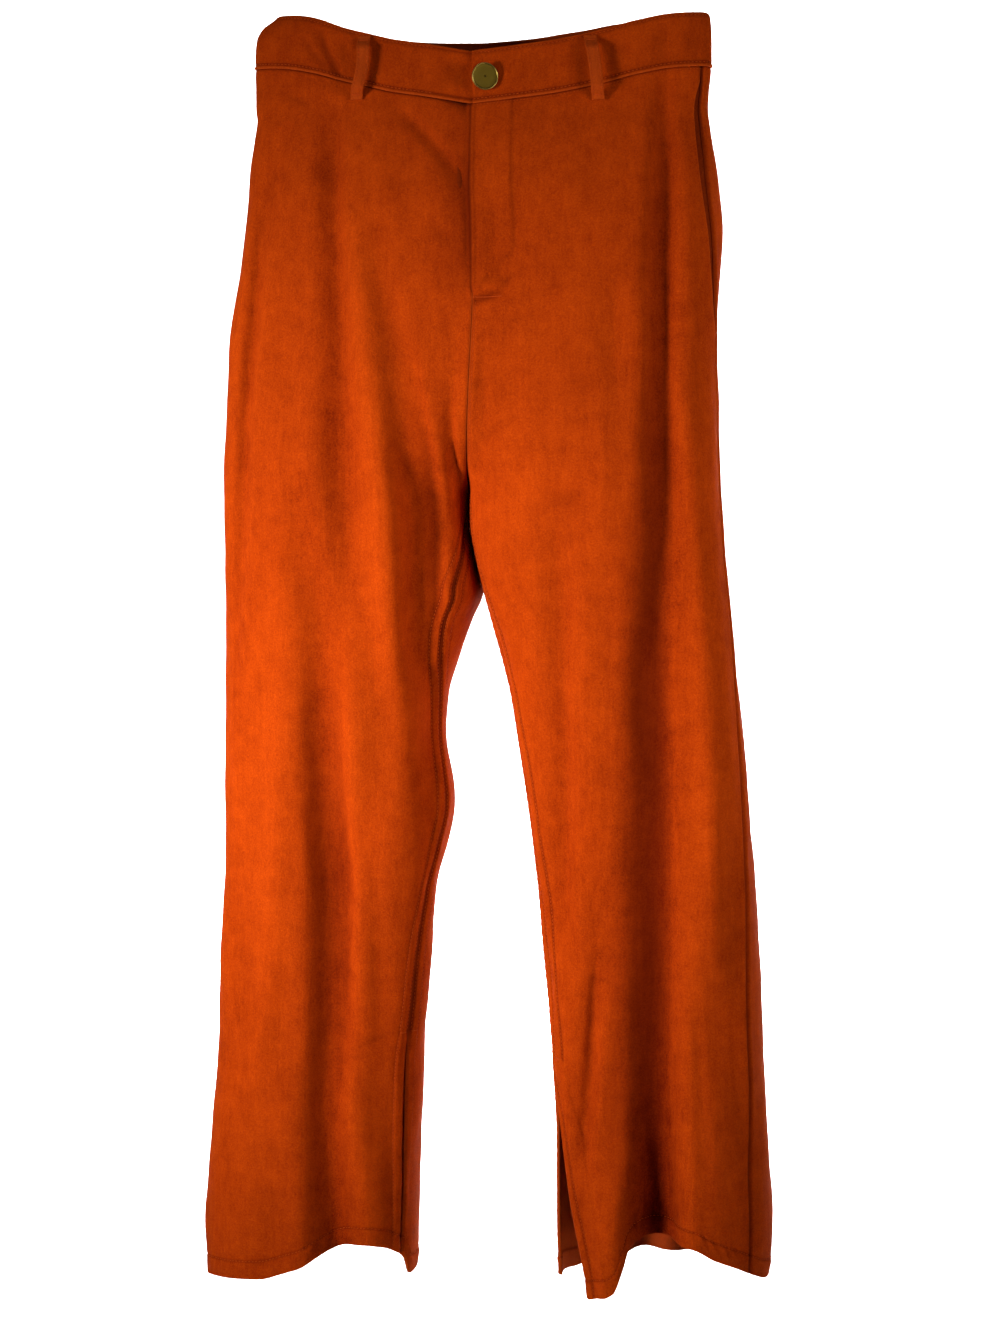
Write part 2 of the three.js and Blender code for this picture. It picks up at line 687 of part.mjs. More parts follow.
// Fly parts: strips behind the centre front, given by their x range from the centre line,
// their heights and their depths below the surface.
function flyStrip(left, right, top, bottom, near, thick, rounding = 0) {
  const outer = [];
  const inner = [];
  for (let r = 0; r <= FLY_ROWS; r += 1) {
    const t = r / FLY_ROWS;
    const level = mix(top, bottom, t);
    const centre = pick(CENTRE, level, 'x');
    const narrow = rounding * ease((t - 1) / SHIELD_ROUND_END + 1);
    const xs = [0, 0.25, 0.5, 0.75, 1].map((k) => centre + mix(left, right - narrow, k));
    outer.push(xs.map((x) => flyPoint(x, level, near)));
    inner.push(xs.map((x) => flyPoint(x, level, near + thick)));
  }
  return wall(outer, inner);
}

function flyPoint(x, level, depth) {
  const centre = pick(CENTRE, level, 'x');
  const side = x >= centre ? 1 : -1;
  const angle = findAngle(side, x, level, 0, 90);
  const point = surfacePoint(side, angle, level, 0);
  return new THREE.Vector3(x, point.y + depth, level);
}

// ------------------------------------------------------------------------- assembly
const CLOTH_COLOUR = 0x9f3407;
const TAPE_COLOUR = 0x8a3516;
const ZIP_COLOUR = 0x8a6a35;
const BUTTON_COLOUR = 0x8d7440;

function material(colour, roughness, metalness) {
  return new THREE.MeshStandardMaterial({ color: colour, roughness, metalness });
}

function node(name, geometry, colour, roughness, metalness) {
  const mesh = new THREE.Mesh(geometry, material(colour, roughness, metalness));
  mesh.name = name;
  mesh.material.name = `${name}_finish`;
  return mesh;
}

function build() {
  const part = new THREE.Group();
  part.name = 'trousers';
  const cloth = (name, geometry) => part.add(node(name, geometry, CLOTH_COLOUR, 0.92, 0));
  cloth('front_left', panel(1, 'front'));
  cloth('front_right', panel(-1, 'front'));
  cloth('back_left', panel(1, 'back'));
  cloth('back_right', panel(-1, 'back'));
  cloth('waistband', waistband());
  cloth('pocket_left', pocket(1));
  cloth('pocket_right', pocket(-1));
  cloth('belt_loop_front_left', beltLoop(1, 88.6, 95.8, frontAngle));
  cloth('belt_loop_front_right', beltLoop(-1, -88.4, -94.5, frontAngle));
  cloth('belt_loop_back_left', beltLoop(1, 104, 105, backAngle));
  cloth('belt_loop_back_right', beltLoop(-1, -108, -109, backAngle));
  cloth('belt_loop_back', beltLoop(1, 0, 0, () => -90));
  const shield = flyStrip(-12, 24, FLY_TOP, FLY_END, SHIELD_NEAR, SHIELD_THICK, SHIELD_ROUNDING);
  cloth('fly_shield', shield);
  const tape = flyStrip(-5, 21, FLY_TOP, FLY_END + 6, TAPE_NEAR, TAPE_THICK);
  part.add(node('zip_tape', tape, TAPE_COLOUR, 0.85, 0));
  const chain = flyStrip(6, 12, FLY_TOP - 12, FLY_END + 10, CHAIN_NEAR, CHAIN_THICK);
  part.add(node('zip_chain', chain, ZIP_COLOUR, 0.4, 1));
  const slider = flyStrip(5, 13, FLY_TOP - 1, FLY_TOP - 11, CHAIN_NEAR, CHAIN_THICK);
  part.add(node('zip_slider', slider, ZIP_COLOUR, 0.35, 1));
  part.add(node('button', button(), BUTTON_COLOUR, 0.4, 1));
  return part;
}

export default build();
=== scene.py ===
"""Suede trousers, high waist and straight legs with a slit at each inner hem, hung hollow from
the waistband. Sizes in the tables are millimetres in the row's frame: +Z up, the wearer's front
faces -Y, the wearer's left is +X, and the origin is the middle of the waist opening.

Every panel lies on one family of sections. At a height z each side of the garment has a rounded
section, a superellipse measured by an angle: 0 at the outer side, 90 at the front, 180 at the
inner side, 270 at the back. Above the crotch the section stops at the centre line, and below it
the section closes into a leg. Folds, seams and creases move that surface along its normal.
"""

import math

import bpy
import numpy as np
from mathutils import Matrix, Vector


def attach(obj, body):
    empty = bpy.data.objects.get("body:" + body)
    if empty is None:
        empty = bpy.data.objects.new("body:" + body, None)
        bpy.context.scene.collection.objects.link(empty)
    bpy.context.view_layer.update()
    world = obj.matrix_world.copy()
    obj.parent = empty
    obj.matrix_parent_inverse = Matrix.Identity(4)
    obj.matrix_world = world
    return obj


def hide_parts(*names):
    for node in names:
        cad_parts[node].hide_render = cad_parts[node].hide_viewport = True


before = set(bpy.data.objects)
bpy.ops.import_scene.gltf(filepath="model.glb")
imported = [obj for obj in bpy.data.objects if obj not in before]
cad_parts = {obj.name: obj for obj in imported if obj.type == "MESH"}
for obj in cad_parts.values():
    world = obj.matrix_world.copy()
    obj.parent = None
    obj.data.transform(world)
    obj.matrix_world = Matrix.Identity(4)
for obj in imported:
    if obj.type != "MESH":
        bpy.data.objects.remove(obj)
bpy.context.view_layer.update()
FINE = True

# --------------------------------------------------------------------------- driving sizes, mm
MM = 0.001
CLOTH = 1.4  # one ply of the cloth
SEAM_GAP = 0.3
BAND_HEIGHT = 39.7
BAND_THICK = 2.8
BAND_PROUD = 0.7  # how far it stands out beyond the panels
BAND_UNDERLAP = 34
BAND_SLOPE = 48  # length over which the under end sinks beneath the upper one
BAND_ROWS = (2.3, 37.2)  # distances of its rows of stitching from its upper edge
PANEL_TOP = -BAND_HEIGHT - SEAM_GAP
BAND_MIDDLE = -20
CLIMB_FADE = 230  # depth below the band at which the seams' climb to the sides has died away
ROUNDNESS = 2.3  # power of the superellipse
CROTCH = -343
FORK_FRONT = 150  # heights over which the sections open out above the crotch
FORK_BACK = 190
HEM = -973
HEM_TURN = 15
HEM_FADE = 190  # height above the hem at which its wave has died away
SLIT = {1: -794, -1: -779}
SLIT_TURN = 8  # width of the slit's turned edge
# The two rows of stitching beside the inner seam: the +X leg's felled edge lies forward.
INSEAM_ROWS = {("front", 1): (12, 23), ("front", -1): (1.8, 8.6),
               ("back", 1): (1.8, 8.6), ("back", -1): (1.8, 8.6)}
FLY_END = -186
FLY_FACING = 31  # distance from the centre line to the facing's edge
FLY_LAP = 1.6  # how far the upper fly edge passes the centre line
FLY_ROW = 3.1  # distances of the rows of stitching from the fly's edge, centre seam and band
CENTRE_ROW = 2.2
TOP_ROW = 2.5
SEAM_LAP = 0.7  # how far the back seam's allowance passes behind the other panel, against light
FOLD_MARGIN = 26  # distance from a seam at which a fold has its full depth
LOOP_WIDTH = 10
LOOP_BOW = 8.4  # how far it stands out at its middle
LOOP_SEAT = 0.35  # its clearance where it is sewn down
LOOP_TOP = -3
LOOP_BOTTOM = -53
BUTTON_X = 6.7
BUTTON_LEVEL = -22
BUTTON_TURN = 24  # degrees its face is turned to the +X side
BUTTON_LIFT = 1.7
POCKET_TOP = -44
POCKET_BOTTOM = -282
POCKET_INSET = 1.9
POCKET_PAST = 2.5  # degrees by which it reaches past the side seam
CHAIN_NEAR = CLOTH + 0.5  # depths of the zip and the shield behind the surface
SHIELD_NEAR = CHAIN_NEAR + 3.6
SHIELD_THICK = 2
SAMPLES = 241  # points along a section whose length is measured
HAND = {1: "left", -1: "right"}  # the wearer's

# --------------------------------------------------------------------------- tables
# Reach of the outer side at +X and -X, depth in front and behind: z, plus, minus, front, back.
OUTLINE = [
    (36, 158, 164, 25, 28), (31, 168, 170, 26, 30), (25, 176.5, 178.5, 27, 31),
    (16, 178, 183, 28, 32), (0, 178.5, 184.5, 28, 33), (-20, 178.5, 185, 30, 36),
    (-38, 177.5, 185, 33, 40), (-45, 177, 184, 35, 42), (-60, 178.5, 186, 40, 48),
    (-85, 181.5, 190, 46, 57), (-110, 183.5, 192, 52, 64), (-155, 186, 198.5, 58, 72),
    (-205, 186, 205.5, 62, 78), (-235, 185.5, 209, 64, 80), (-265, 186.5, 211.5, 65, 80),
    (-300, 188, 212.3, 65, 79), (-340, 190, 212.8, 64, 77), (-385, 193.5, 213, 62, 73),
    (-440, 200, 213.5, 58, 67), (-500, 206.2, 214.2, 55, 62), (-590, 215.2, 215.2, 51, 56),
    (-660, 221, 218, 49, 54), (-750, 224.5, 223, 48, 54), (-860, 232.5, 230.5, 50, 57),
    (-920, 235, 236.5, 52, 60), (-960, 233.5, 239.5, 53, 61), (-990, 230.5, 238, 54, 62),
]
# Climb of the band from the centre line, 0, to the side, 1: at the front +X, front -X, back +X,
# back -X.
CLIMB = [
    (0, 0, 0, 15, 15), (0.2, 3.5, 6.5, 17, 16), (0.35, 6.5, 11, 20, 18),
    (0.45, 9.5, 15.5, 22, 20.5), (0.57, 14, 21, 25, 24), (0.7, 20, 28, 26.5, 28),
    (0.85, 25, 33, 27, 32.5), (1, 27, 35, 27, 35),
]
CENTRE = [  # z and x of the centre seams
    (40, -4), (0, -3.7), (-42, -1.8), (-96, 0.1), (-143, 2.9), (-184, 3.4), (-255, 0.7),
    (-299, -2.8), (-328, -7.4), (-343, -9.4),
]
# Inner side of each leg and the angle of its inner seam: z, +X, -X, seam +X, seam -X.
LEGS = [
    (-343, -9.25, -9.55, 180, 180), (-363, -8.6, -11.6, 180, 172), (-388, -5, -7.5, 180, 160),
    (-419, 1.6, -1.6, 177, 146), (-443, 8, -11.5, 176, 148), (-473, 16.5, -22, 175, 155),
    (-503, 24, -31, 174, 168), (-533, 29, -33.5, 173, 172), (-593, 38, -25.5, 173, 166),
    (-628, 42.5, -31.5, 173, 163), (-663, 46.5, -40, 173, 162), (-703, 49.5, -43.5, 173, 157),
    (-753, 54.5, -45.5, 173, 152), (-803, 59, -50.5, 173, 151), (-863, 62, -53, 173, 152),
    (-923, 62.5, -56, 173, 155), (-993, 64.5, -60.5, 173, 157),
]
# Angle of the side seam and how far the pocket mouth stands open: z, +X, -X, mouth +X, mouth -X.
SIDES = [
    (-990, 32, -8, 0, 0), (-900, 34, -8, 0, 0), (-800, 27, -8, 0, 0), (-660, 22, -8, 0, 0),
    (-560, 16, -8, 0, 0), (-430, 8, -6, 0, 0), (-232, 4, -4, 0, 0), (-205, 6, -4, 4.5, 3),
    (-160, 10, -2, 6.5, 4), (-110, 15, 0, 6.5, 4), (-65, 16, 0, 4, 2.5), (-43, 16, 0, 0, 0),
    (36, 14, 0, 0, 0),
]
# Angle by which the slit's edges draw back: z, front +X, back +X, front -X, back -X.
SLITS = [
    (-993, 47, 3, 1.6, 0.2), (-960, 43, 3, 1.6, 0.3), (-900, 28, 2, 1.5, 0.6),
    (-845, 14, 1, 1, 0.8), (-794, 0, 0, 0.5, 0.5), (-779, 0, 0, 0, 0),
]
# Height of the hem above its mean level by angle round the leg: angle, +X, -X.
HEM_WAVE = [
    (-90, 0, 0), (-60, -5, -6), (-30, -6, -16), (-12, 0, -24), (10, 4, -25), (30, 12, -21),
    (45, 20, -18), (60, 28, -15.5), (75, 38, -13), (85, 38, -7), (93, 38, 0), (99, 34, 6),
    (104, 15, 10), (108, -1, 12), (118, -8, 17), (127, -12, 18.5), (138, -11, 16),
    (150, -10, 10), (160, -10, 3), (172, -9, -15), (185, -10, -15), (210, -14, -14),
    (240, -8, -6), (270, 0, 0),
]
# The line each fold follows, the depth of its valley (minus is a ridge) and its width:
# x, z, depth, width. These are in the solids too. A point without a width has the last one given.
FOLDS = {
    "front": [
        [(147, -14, 0.8, 10), (148, -30, 2.5), (149, -119, 6), (150, -193, 7), (154, -306, 7, 11),
         (160, -387, 7, 13), (158, -511, 7.5, 20), (154, -621, 8), (152, -732, 11, 15),
         (150, -850, 17, 16), (150, -925, 24, 17), (149, -993, 29, 18)],
        [(112, -870, 0, 15), (111, -930, -5), (110, -993, -8)],
        [(69, -342, 0, 12), (71, -430, 4), (71, -529, 5), (67, -656, 4), (75, -730, 0)],
        [(104, -690, 0, 9), (96, -760, 4), (88, -850, 5), (86, -900, 0)],
        [(-154, -54, 1.5, 9), (-165, -110, 4), (-175, -171, 4.5, 8), (-182, -234, 4.5),
         (-186, -296, 4), (-188, -391, 2), (-189, -440, 0)],
        [(-115, -30, 0.5, 10), (-114, -73, 4), (-111, -134, 5.5, 11), (-107, -218, 6.5, 12),
         (-102, -302, 6), (-96, -390, 4), (-94, -454, 0)],
        [(-122, -391, 0, 12), (-121, -438, 4), (-121, -534, 7, 13), (-119, -607, 8), (-116, -664, 8),
         (-116, -746, 8), (-120, -829, 10, 14), (-114, -949, 16, 16), (-113, -990, 18)],
        [(-96, -100, 0, 12), (-90, -160, -3), (-77, -252, -4), (-72, -302, -4), (-66, -416, -4),
         (-58, -537, -2), (-58, -600, 0)],
        [(-65, -172, 0, 12), (-55, -225, 3), (-48, -305, 5), (-45, -343, 6), (-42, -397, 6),
         (-41, -439, 4), (-43, -503, 0)],
    ],
    "back": [
        [(128, -170, 0, 14), (130, -260, 6), (136, -400, 9, 16), (140, -560, 9, 18), (146, -720, 11),
         (150, -880, 15), (150, -990, 18)],
        [(66, -260, 0, 13), (62, -320, 6), (66, -430, 7), (78, -600, 4, 14), (92, -700, 0)],
        [(98, -640, 0, 14), (98, -760, 5), (102, -900, 9), (104, -990, 11)],
        [(-132, -150, 0, 14), (-136, -260, 6), (-140, -400, 9, 16), (-142, -560, 9, 18),
         (-146, -720, 10), (-150, -880, 13), (-152, -990, 15)],
        [(-62, -270, 0, 13), (-58, -330, 6), (-66, -430, 7), (-84, -600, 4, 14), (-92, -700, 0)],
        [(-100, -650, 0, 14), (-102, -770, 5), (-104, -900, 8), (-104, -990, 10)],
    ],
}
# Creases pressed into the cloth beyond the solids' folds: the longest two of each face broaden
# valleys that the solids have, the others are too small for them. Along each line: x, z, depth
# (minus is a ridge) and the widths of its walls toward -X and toward +X, left out as above.
CREASES = {
    "front": [
        [(147, -14, 0, 10, 5), (147, -30, 2.5, 11, 5), (148, -80, 4.5, 12, 6), (148, -150, 5, 13, 6),
         (148, -215, 5.5, 15, 6), (151, -292, 7, 22, 7), (152, -360, 8, 28, 8),
         (149, -436, 8.5, 34, 9), (149, -546, 9, 36, 10), (148, -634, 9, 36, 11),
         (146, -738, 9, 44, 12), (144, -819, 8, 46, 13), (146, -924, 5, 40, 14),
         (146, -985, 0, 30, 14)],
        [(134, -200, 0, 12, 9), (130, -260, 0.8), (136, -344, 1), (133, -498, 1, 12, 10),
         (132, -600, 0)],
        [(-121, -8, 1, 9, 8), (-114, -80, 1.8, 11, 8), (-112, -112, 1.2, 12, 8),
         (-102, -190, 2, 14, 9), (-98, -260, 1.2, 16, 10), (-100, -330, 1, 18, 12),
         (-105, -392, 1.5, 20, 12), (-109, -456, 3, 24, 12), (-112, -554, 5, 30, 12),
         (-112, -636, 6, 32, 13), (-112, -718, 6), (-115, -784, 5, 28, 13), (-121, -860, 3, 24, 13),
         (-127, -946, 1, 18, 12), (-130, -985, 0, 16, 12)],
        [(-50, -215, 0, 9, 6), (-42, -252, 3), (-32, -322, 5.5, 10, 6), (-28, -378, 6.5, 11, 6),
         (-28, -440, 6), (-32, -506, 4.5), (-37, -590, 2, 10, 7), (-40, -650, 0, 9, 7)],
        [(-13, -250, 0, 5, 3), (-13, -286, 2.6, 5, 2.6), (-12.5, -322, 4.2, 6, 2.6),
         (-14, -345, 3.2, 6, 3), (-17, -366, 0, 5, 3)],
        [(-170, -80, 0, 6, 5), (-172, -94, 2), (-180, -188, 3), (-187, -292, 3), (-191, -378, 3),
         (-196, -460, 1.5), (-198, -500, 0)],
        [(76, -380, 0, 8, 6), (75, -422, 1), (72, -548, 1.4, 9, 6), (73, -646, 1.4),
         (78, -702, 0.8, 8, 6), (80, -720, 0)],
        [(99, -700, 0, 2.2, 2.2), (96, -735, 2.4, 2.5, 2.5), (93, -774, 3, 3, 3), (87, -853, 1),
         (86, -870, 0)],
        [(106, -710, 0, 5, 5), (103, -770, -2), (98, -850, -1.5), (97, -880, 0)],
        [(-62, -40, 0, 9, 7), (-44, -56, 3, 9, 6), (-22, -80, 3.4), (-11, -98, 2, 8, 6),
         (-7, -118, 0, 8, 8)],
        [(-84, -130, 0, 12, 12), (-80, -192, -1.5), (-66, -330, -2, 13, 12), (-61, -438, -2),
         (-59, -552, -1.5, 12, 12), (-59, -642, 0)],
        [(-154, -250, 0, 11, 11), (-155, -300, -1.5, 12, 12), (-152, -424, -2, 13, 12),
         (-160, -586, -2.2), (-166, -710, -2), (-185, -830, -1.5, 12, 12), (-199, -906, 0)],
        [(160, -230, 0, 8, 8), (166, -292, -1.5, 8, 9), (177, -422, -2, 9, 9), (184, -546, -2),
         (191, -656, -1.5), (194, -720, 0)],
        [(30, -190, 0, 7, 7), (36, -240, 0.8), (40, -300, 0.9), (42, -360, 0)],
        [(110, -130, 0, 9, 9), (114, -200, 0.9), (116, -300, 1), (120, -420, 0)],
        [(176, -700, 0, 6, 6), (180, -760, 1.4), (186, -860, 1.6, 7, 6), (190, -950, 0)],
        [(-80, -620, 0, 8, 8), (-78, -700, 1.2), (-80, -820, 1.3), (-84, -930, 0)],
    ],
    "back": [
        [(-128, -50, 0, 9, 7), (-120, -120, 3), (-124, -260, 3.5, 10, 8), (-134, -400, 3.5, 11, 8),
         (-138, -560, 4, 12, 9), (-141, -720, 4), (-146, -880, 2), (-148, -960, 0)],
        [(126, -50, 0, 7, 9), (121, -130, 3), (127, -260, 4, 8, 11), (134, -420, 4, 9, 12),
         (136, -580, 4.5, 9, 13), (140, -740, 4), (146, -900, 1.5, 9, 12), (146, -960, 0)],
        [(-60, -290, 0, 7, 8), (-46, -380, 3), (-48, -460, 2.4), (-58, -560, 0)],
        [(56, -320, 0, 8, 6), (50, -420, 2.6), (61, -540, 3), (76, -670, 0)],
        [(-20, -250, 0, 5, 6), (-24, -300, 2), (-22, -336, 1.2)],
        [(20, -240, 0, 6, 5), (22, -290, 1.8), (12, -334, 1.2)],
        [(-176, -90, 0, 6, 6), (-182, -200, 2), (-190, -340, 2.2), (-194, -470, 0)],
        [(172, -120, 0, 6, 6), (176, -240, 1.8), (180, -380, 2), (184, -480, 0)],
        [(-84, -560, 0, 9, 9), (-86, -660, -1.8, 10, 9), (-90, -800, -1.6), (-96, -910, 0, 9, 9)],
        [(104, -480, 0, 9, 9), (106, -600, -1.8, 9, 10), (112, -760, -1.6), (116, -880, 0, 9, 9)],
    ],
}
# Short creases from one point to another: x and z of both ends, depth, width.
MARKS = {
    "front": [
        (-102, -791, -60, -775, 1.1, 2.2), (-103, -797, -82, -793, 0.5, 1.6),
        (90, -722, 114, -727, 0.9, 1.8), (104, -718, 122, -719, 0.4, 1.8),
        (-2, -194, 29, -185, 3, 2.6), (0, -184, 27, -177, -2.4, 5),
        (22, -186, 37, -170, 1.3, 2.4), (-2, -197, 8, -193, 0.8, 2),
        (6, -60, 26, -70, 0.5, 3), (5, -120, 22, -128, 0.5, 3), (-34, -130, -12, -152, 0.8, 4),
        (-160, -26, -132, -40, 0.9, 3), (-98, -112, -88, -128, 0.7, 1.6),
        (168, -52, 182, -56, 0.7, 1.6), (170, -61, 182, -63, 0.6, 1.5),
        (36, -58, 70, -74, 0.5, 4), (60, -350, 92, -338, 0.6, 4), (-12, -352, -44, -338, 0.8, 4),
        (-14, -300, -38, -292, 0.9, 3),
        (-14, -322, -34, -320, 0.8, 2.6), (2, -262, 14, -250, 0.9, 2.6), (6, -300, 24, -288, 0.6, 3),
        (134, -931, 137, -909, 0.9, 1.5), (139.5, -933, 142, -907, 1.2, 1.5),
        (145, -933, 147.5, -908, 1.2, 1.5), (151, -931, 153, -911, 0.9, 1.5),
        (172, -906, 206, -912, 0.6, 2.4), (-190, -640, -212, -646, 0.6, 2.4),
    ],
    "back": [
        (-80, -362, -28, -386, 1.6, 5), (84, -358, 22, -388, 1.6, 5),
        (-60, -330, -16, -348, 1.0, 4), (58, -326, 14, -346, 1.1, 4),
        (-30, -48, -70, -60, 0.7, 5), (36, -50, 74, -58, 0.7, 5),
        (120, -640, 158, -628, 0.8, 3), (-116, -700, -150, -690, 0.8, 3),
    ],
}
# The waistband's own creases, given like the panels'.
BAND_CREASES = [
    [(-130, 25, 0, 5, 3), (-126, 17, 3), (-122, 6, 4, 6, 3), (-112, -12, 3, 5, 3.4), (-109, -19, 0)],
    [(-141, 18, 0, 4, 3), (-137, 10, 2.4), (-126, -4, 2), (-121, -12, 0)],
    [(-105, 22, 0, 3.4, 3.4), (-101, 14, -2), (-98, 5, -1.4), (-97, -2, 0)],
    [(-156, 26, 0, 6, 5), (-155, 12, 1), (-160, -8, 0)],
    [(144, 18, 0, 7, 5), (143, 5, 1.8), (141, -20, 1.2), (140, -28, 0)],
    [(166, 22, 0, 6, 6), (166, 8, 1.4), (167, -3, 1.2), (167, -14, 0)],
    [(-14, 0, 0, 6, 5), (-20, -14, 0.8), (-30, -32, 0)],
    [(56, -2, 0, 8, 8), (52, -14, 0.6), (50, -30, 0)],
]
# Depth of the hollow beside the fly's edge, on the -X side: level, depth.
FLY_HOLLOW = [
    (-250, 0), (-200, 0.8), (-165, 2.6), (-140, 4), (-110, 4), (-85, 3), (-62, 2), (-44, 2.4),
]


# --------------------------------------------------------------------------- curves and sections
def ease(t):
    """Rises smoothly from 0 at t = 0 to 1 at t = 1: three t squared less two t cubed."""
    k = np.clip(t, 0, 1)
    return k * k * (3 - 2 * k)


def along(rows, key, column):
    """Cubic through the rows of a table that never overshoots them: between two rows the value
    eases from one to the other, plus a bulge given by the harmonic mean of the slopes there."""
    rows = np.array(sorted(rows), float)
    x, y = rows[:, 0], rows[:, column]
    run = np.diff(x)
    slope = np.diff(y) / run
    inner = np.where(
        slope[:-1] * slope[1:] > 0,
        2 * slope[:-1] * slope[1:] / np.where(slope[:-1] + slope[1:] == 0, 1, slope[:-1] + slope[1:]),
        0,
    )
    tangent = np.concatenate([slope[:1], inner, slope[-1:]])
    at = np.clip(key, x[0], x[-1])
    i = np.clip(np.searchsorted(x, at, side="left") - 1, 0, len(run) - 1)
    t = (at - x[i]) / run[i]
    rise = (3 - 2 * t) * t * t
    bulge = run[i] * t * (1 - t) * ((1 - t) * tangent[i] - t * tangent[i + 1])
    return y[i] + (y[i + 1] - y[i]) * rise + bulge


def sided(rows, side, key, pair=1):
    """along() on the table's column for +X, or on the next one, which is for -X."""
    return along(rows, key, pair if side > 0 else pair + 1)


def power(v):
    """The superellipse's power of a cosine or sine, with its sign kept."""
    return np.sign(v) * np.abs(v) ** (2 / ROUNDNESS)


def round_cos(angle):
    """Superellipse cosine of an angle in degrees."""
    return power(np.cos(np.radians(angle)))


def round_sin(angle):
    """Superellipse sine of an angle in degrees."""
    return power(np.sin(np.radians(angle)))


def fork_angle(z, height):
    """Angle at which a section meets the centre line: 90 above the fork, 180 at the crotch, the
    half width growing smoothly from half of the way across to all of it."""
    half = 0.5 + 0.5 * ease((z - CROTCH) / height)
    return np.degrees(np.arccos(-((1 / half - 1) ** (ROUNDNESS / 2))))


def inner_side(side, z):
    """x of the inner side: the centre line above the crotch, the leg's own inner side below."""
    return np.where(z < CROTCH, sided(LEGS, side, z), along(CENTRE, z, 1) + side * SEAM_GAP / 2)


def section_point(side, angle, z):
    """x and y on the section: half its width times the round cosine, its depth times the sine."""
    s = round_sin(angle)
    front = s >= 0
    reach = np.where(front, fork_angle(z, FORK_FRONT), fork_angle(z, FORK_BACK))
    outer = sided(OUTLINE, side, z)
    depth = np.where(front, along(OUTLINE, z, 3), along(OUTLINE, z, 4))
    half = (outer - side * inner_side(side, z)) / (1 - round_cos(reach))
    return side * (outer - half + half * round_cos(angle)), -depth * s


def climb(side, angle, level):
    """How far the cloth climbs towards the sides: the climb table at the round cosine, fading
    away below the band."""
    across = np.maximum(0, round_cos(angle))
    behind = np.sin(np.radians(angle)) < 0
    fade = 1 - ease((-level - BAND_HEIGHT) / CLIMB_FADE)
    return np.where(behind, sided(CLIMB, side, across, 3), sided(CLIMB, side, across)) * fade


def hem_wave(side, angle, level):
    """Rise of the hem by angle, dying away above it."""
    wave = sided(HEM_WAVE, side, np.where(angle > 270, angle - 360, angle))
    return wave * ease((level - HEM - HEM_FADE) / -HEM_FADE)


def edge_angles(side, face, level):
    """Angles of a panel's inner and outer edges at a level."""
    seam = sided(SIDES, side, level)
    front = face == "front"
    z = level + climb(side, np.full_like(level, 90.0 if front else 270.0), level)
    fork = fork_angle(z, FORK_FRONT if front else FORK_BACK)
    leg = sided(LEGS, side, level, 3)
    slit = along(SLITS, level, (1 if side > 0 else 3) + (not front))
    if front:
        return np.where(level > CROTCH, fork, leg - slit), seam
    return np.where(level > CROTCH, 360 - fork, leg + slit), 360 + seam


def along_lines(lines, x, z, bell, reach):
    """Sum over lines of depth times a bell curve of d, the distance across the line in widths of
    the wall on that side. It is cut off at the line's two ends and at a reach of d."""
    total = np.zeros(np.broadcast(x, z).shape)
    for line in lines:
        rows = []
        for at, level, depth, *widths in line:
            rows.append((level, at, depth, *(widths or rows[-1][3:])))
        low, high = min(rows)[0], max(rows)[0]
        d = x - along(rows, z, 1)
        d = d / np.where(d < 0, along(rows, z, 3), along(rows, z, len(rows[0]) - 1))
        inside = (z <= high) & (z >= low) & (np.abs(d) < reach)
        total += np.where(inside, along(rows, z, 2) * bell(d), 0)
    return total


def fold_depth(face, x, z):
    """The solids' folds. Their bell is (1 - d squared / 2) times exp(-d squared / 2): a valley
    with a soft shoulder on each side."""
    return along_lines(FOLDS[face], x, z, lambda d: (1 - 0.5 * d * d) * np.exp(-0.5 * d * d), 4)


def troughs(lines, x, z):
    """Creases, whose bell is exp(-d squared): a valley, or a ridge where the depth is below 0."""
    return along_lines(lines, x, z, lambda d: np.exp(-d * d), 3)


def short_creases(rows, x, z):
    """Sum over short creases of depth times a half sine along it times exp(-d squared), d being
    the distance from its line in widths."""
    total = np.zeros(np.broadcast(x, z).shape)
    for x0, z0, x1, z1, depth, width in rows:
        dx, dz = x1 - x0, z1 - z0
        length = math.hypot(dx, dz)
        t = ((x - x0) * dx + (z - z0) * dz) / length**2
        d = ((z - z0) * dx - (x - x0) * dz) / length / width
        total += depth * np.sin(math.pi * np.clip(t, 0, 1)) * np.exp(-d * d)
    return total


def surface_point(side, angle, level, margin):
    """Point of the outer surface: the section at the level's height, moved inwards along the
    section's normal by the folds. margin is 0 at a seam and 1 away from it."""
    angle, level, margin = np.broadcast_arrays(
        np.asarray(angle, float), np.asarray(level, float), np.asarray(margin, float)
    )
    z = level + climb(side, angle, level) + hem_wave(side, angle, level)
    x, y = section_point(side, angle, z)
    x1, y1 = section_point(side, angle + 0.6, z)
    x0, y0 = section_point(side, angle - 0.6, z)
    length = np.maximum(np.hypot(x1 - x0, y1 - y0), 1e-9)
    nx = side * (y1 - y0) / -length
    ny = side * (x1 - x0) / length
    push = margin * np.where(y < 0, fold_depth("front", x, z), fold_depth("back", x, z))
    return np.stack([x - nx * push, y - ny * push, z], -1)


def outward(side, angle, level, margin):
    """Unit normal of the surface: the cross product of its steps across and up."""
    def step(turn, rise):
        return (surface_point(side, angle + turn, level + rise, margin)
                - surface_point(side, angle - turn, level - rise, margin))

    across, up = step(0.8, 0), step(0, 2)
    normal = np.cross(across, up) * -side
    return normal / np.linalg.norm(normal, axis=-1, keepdims=True)


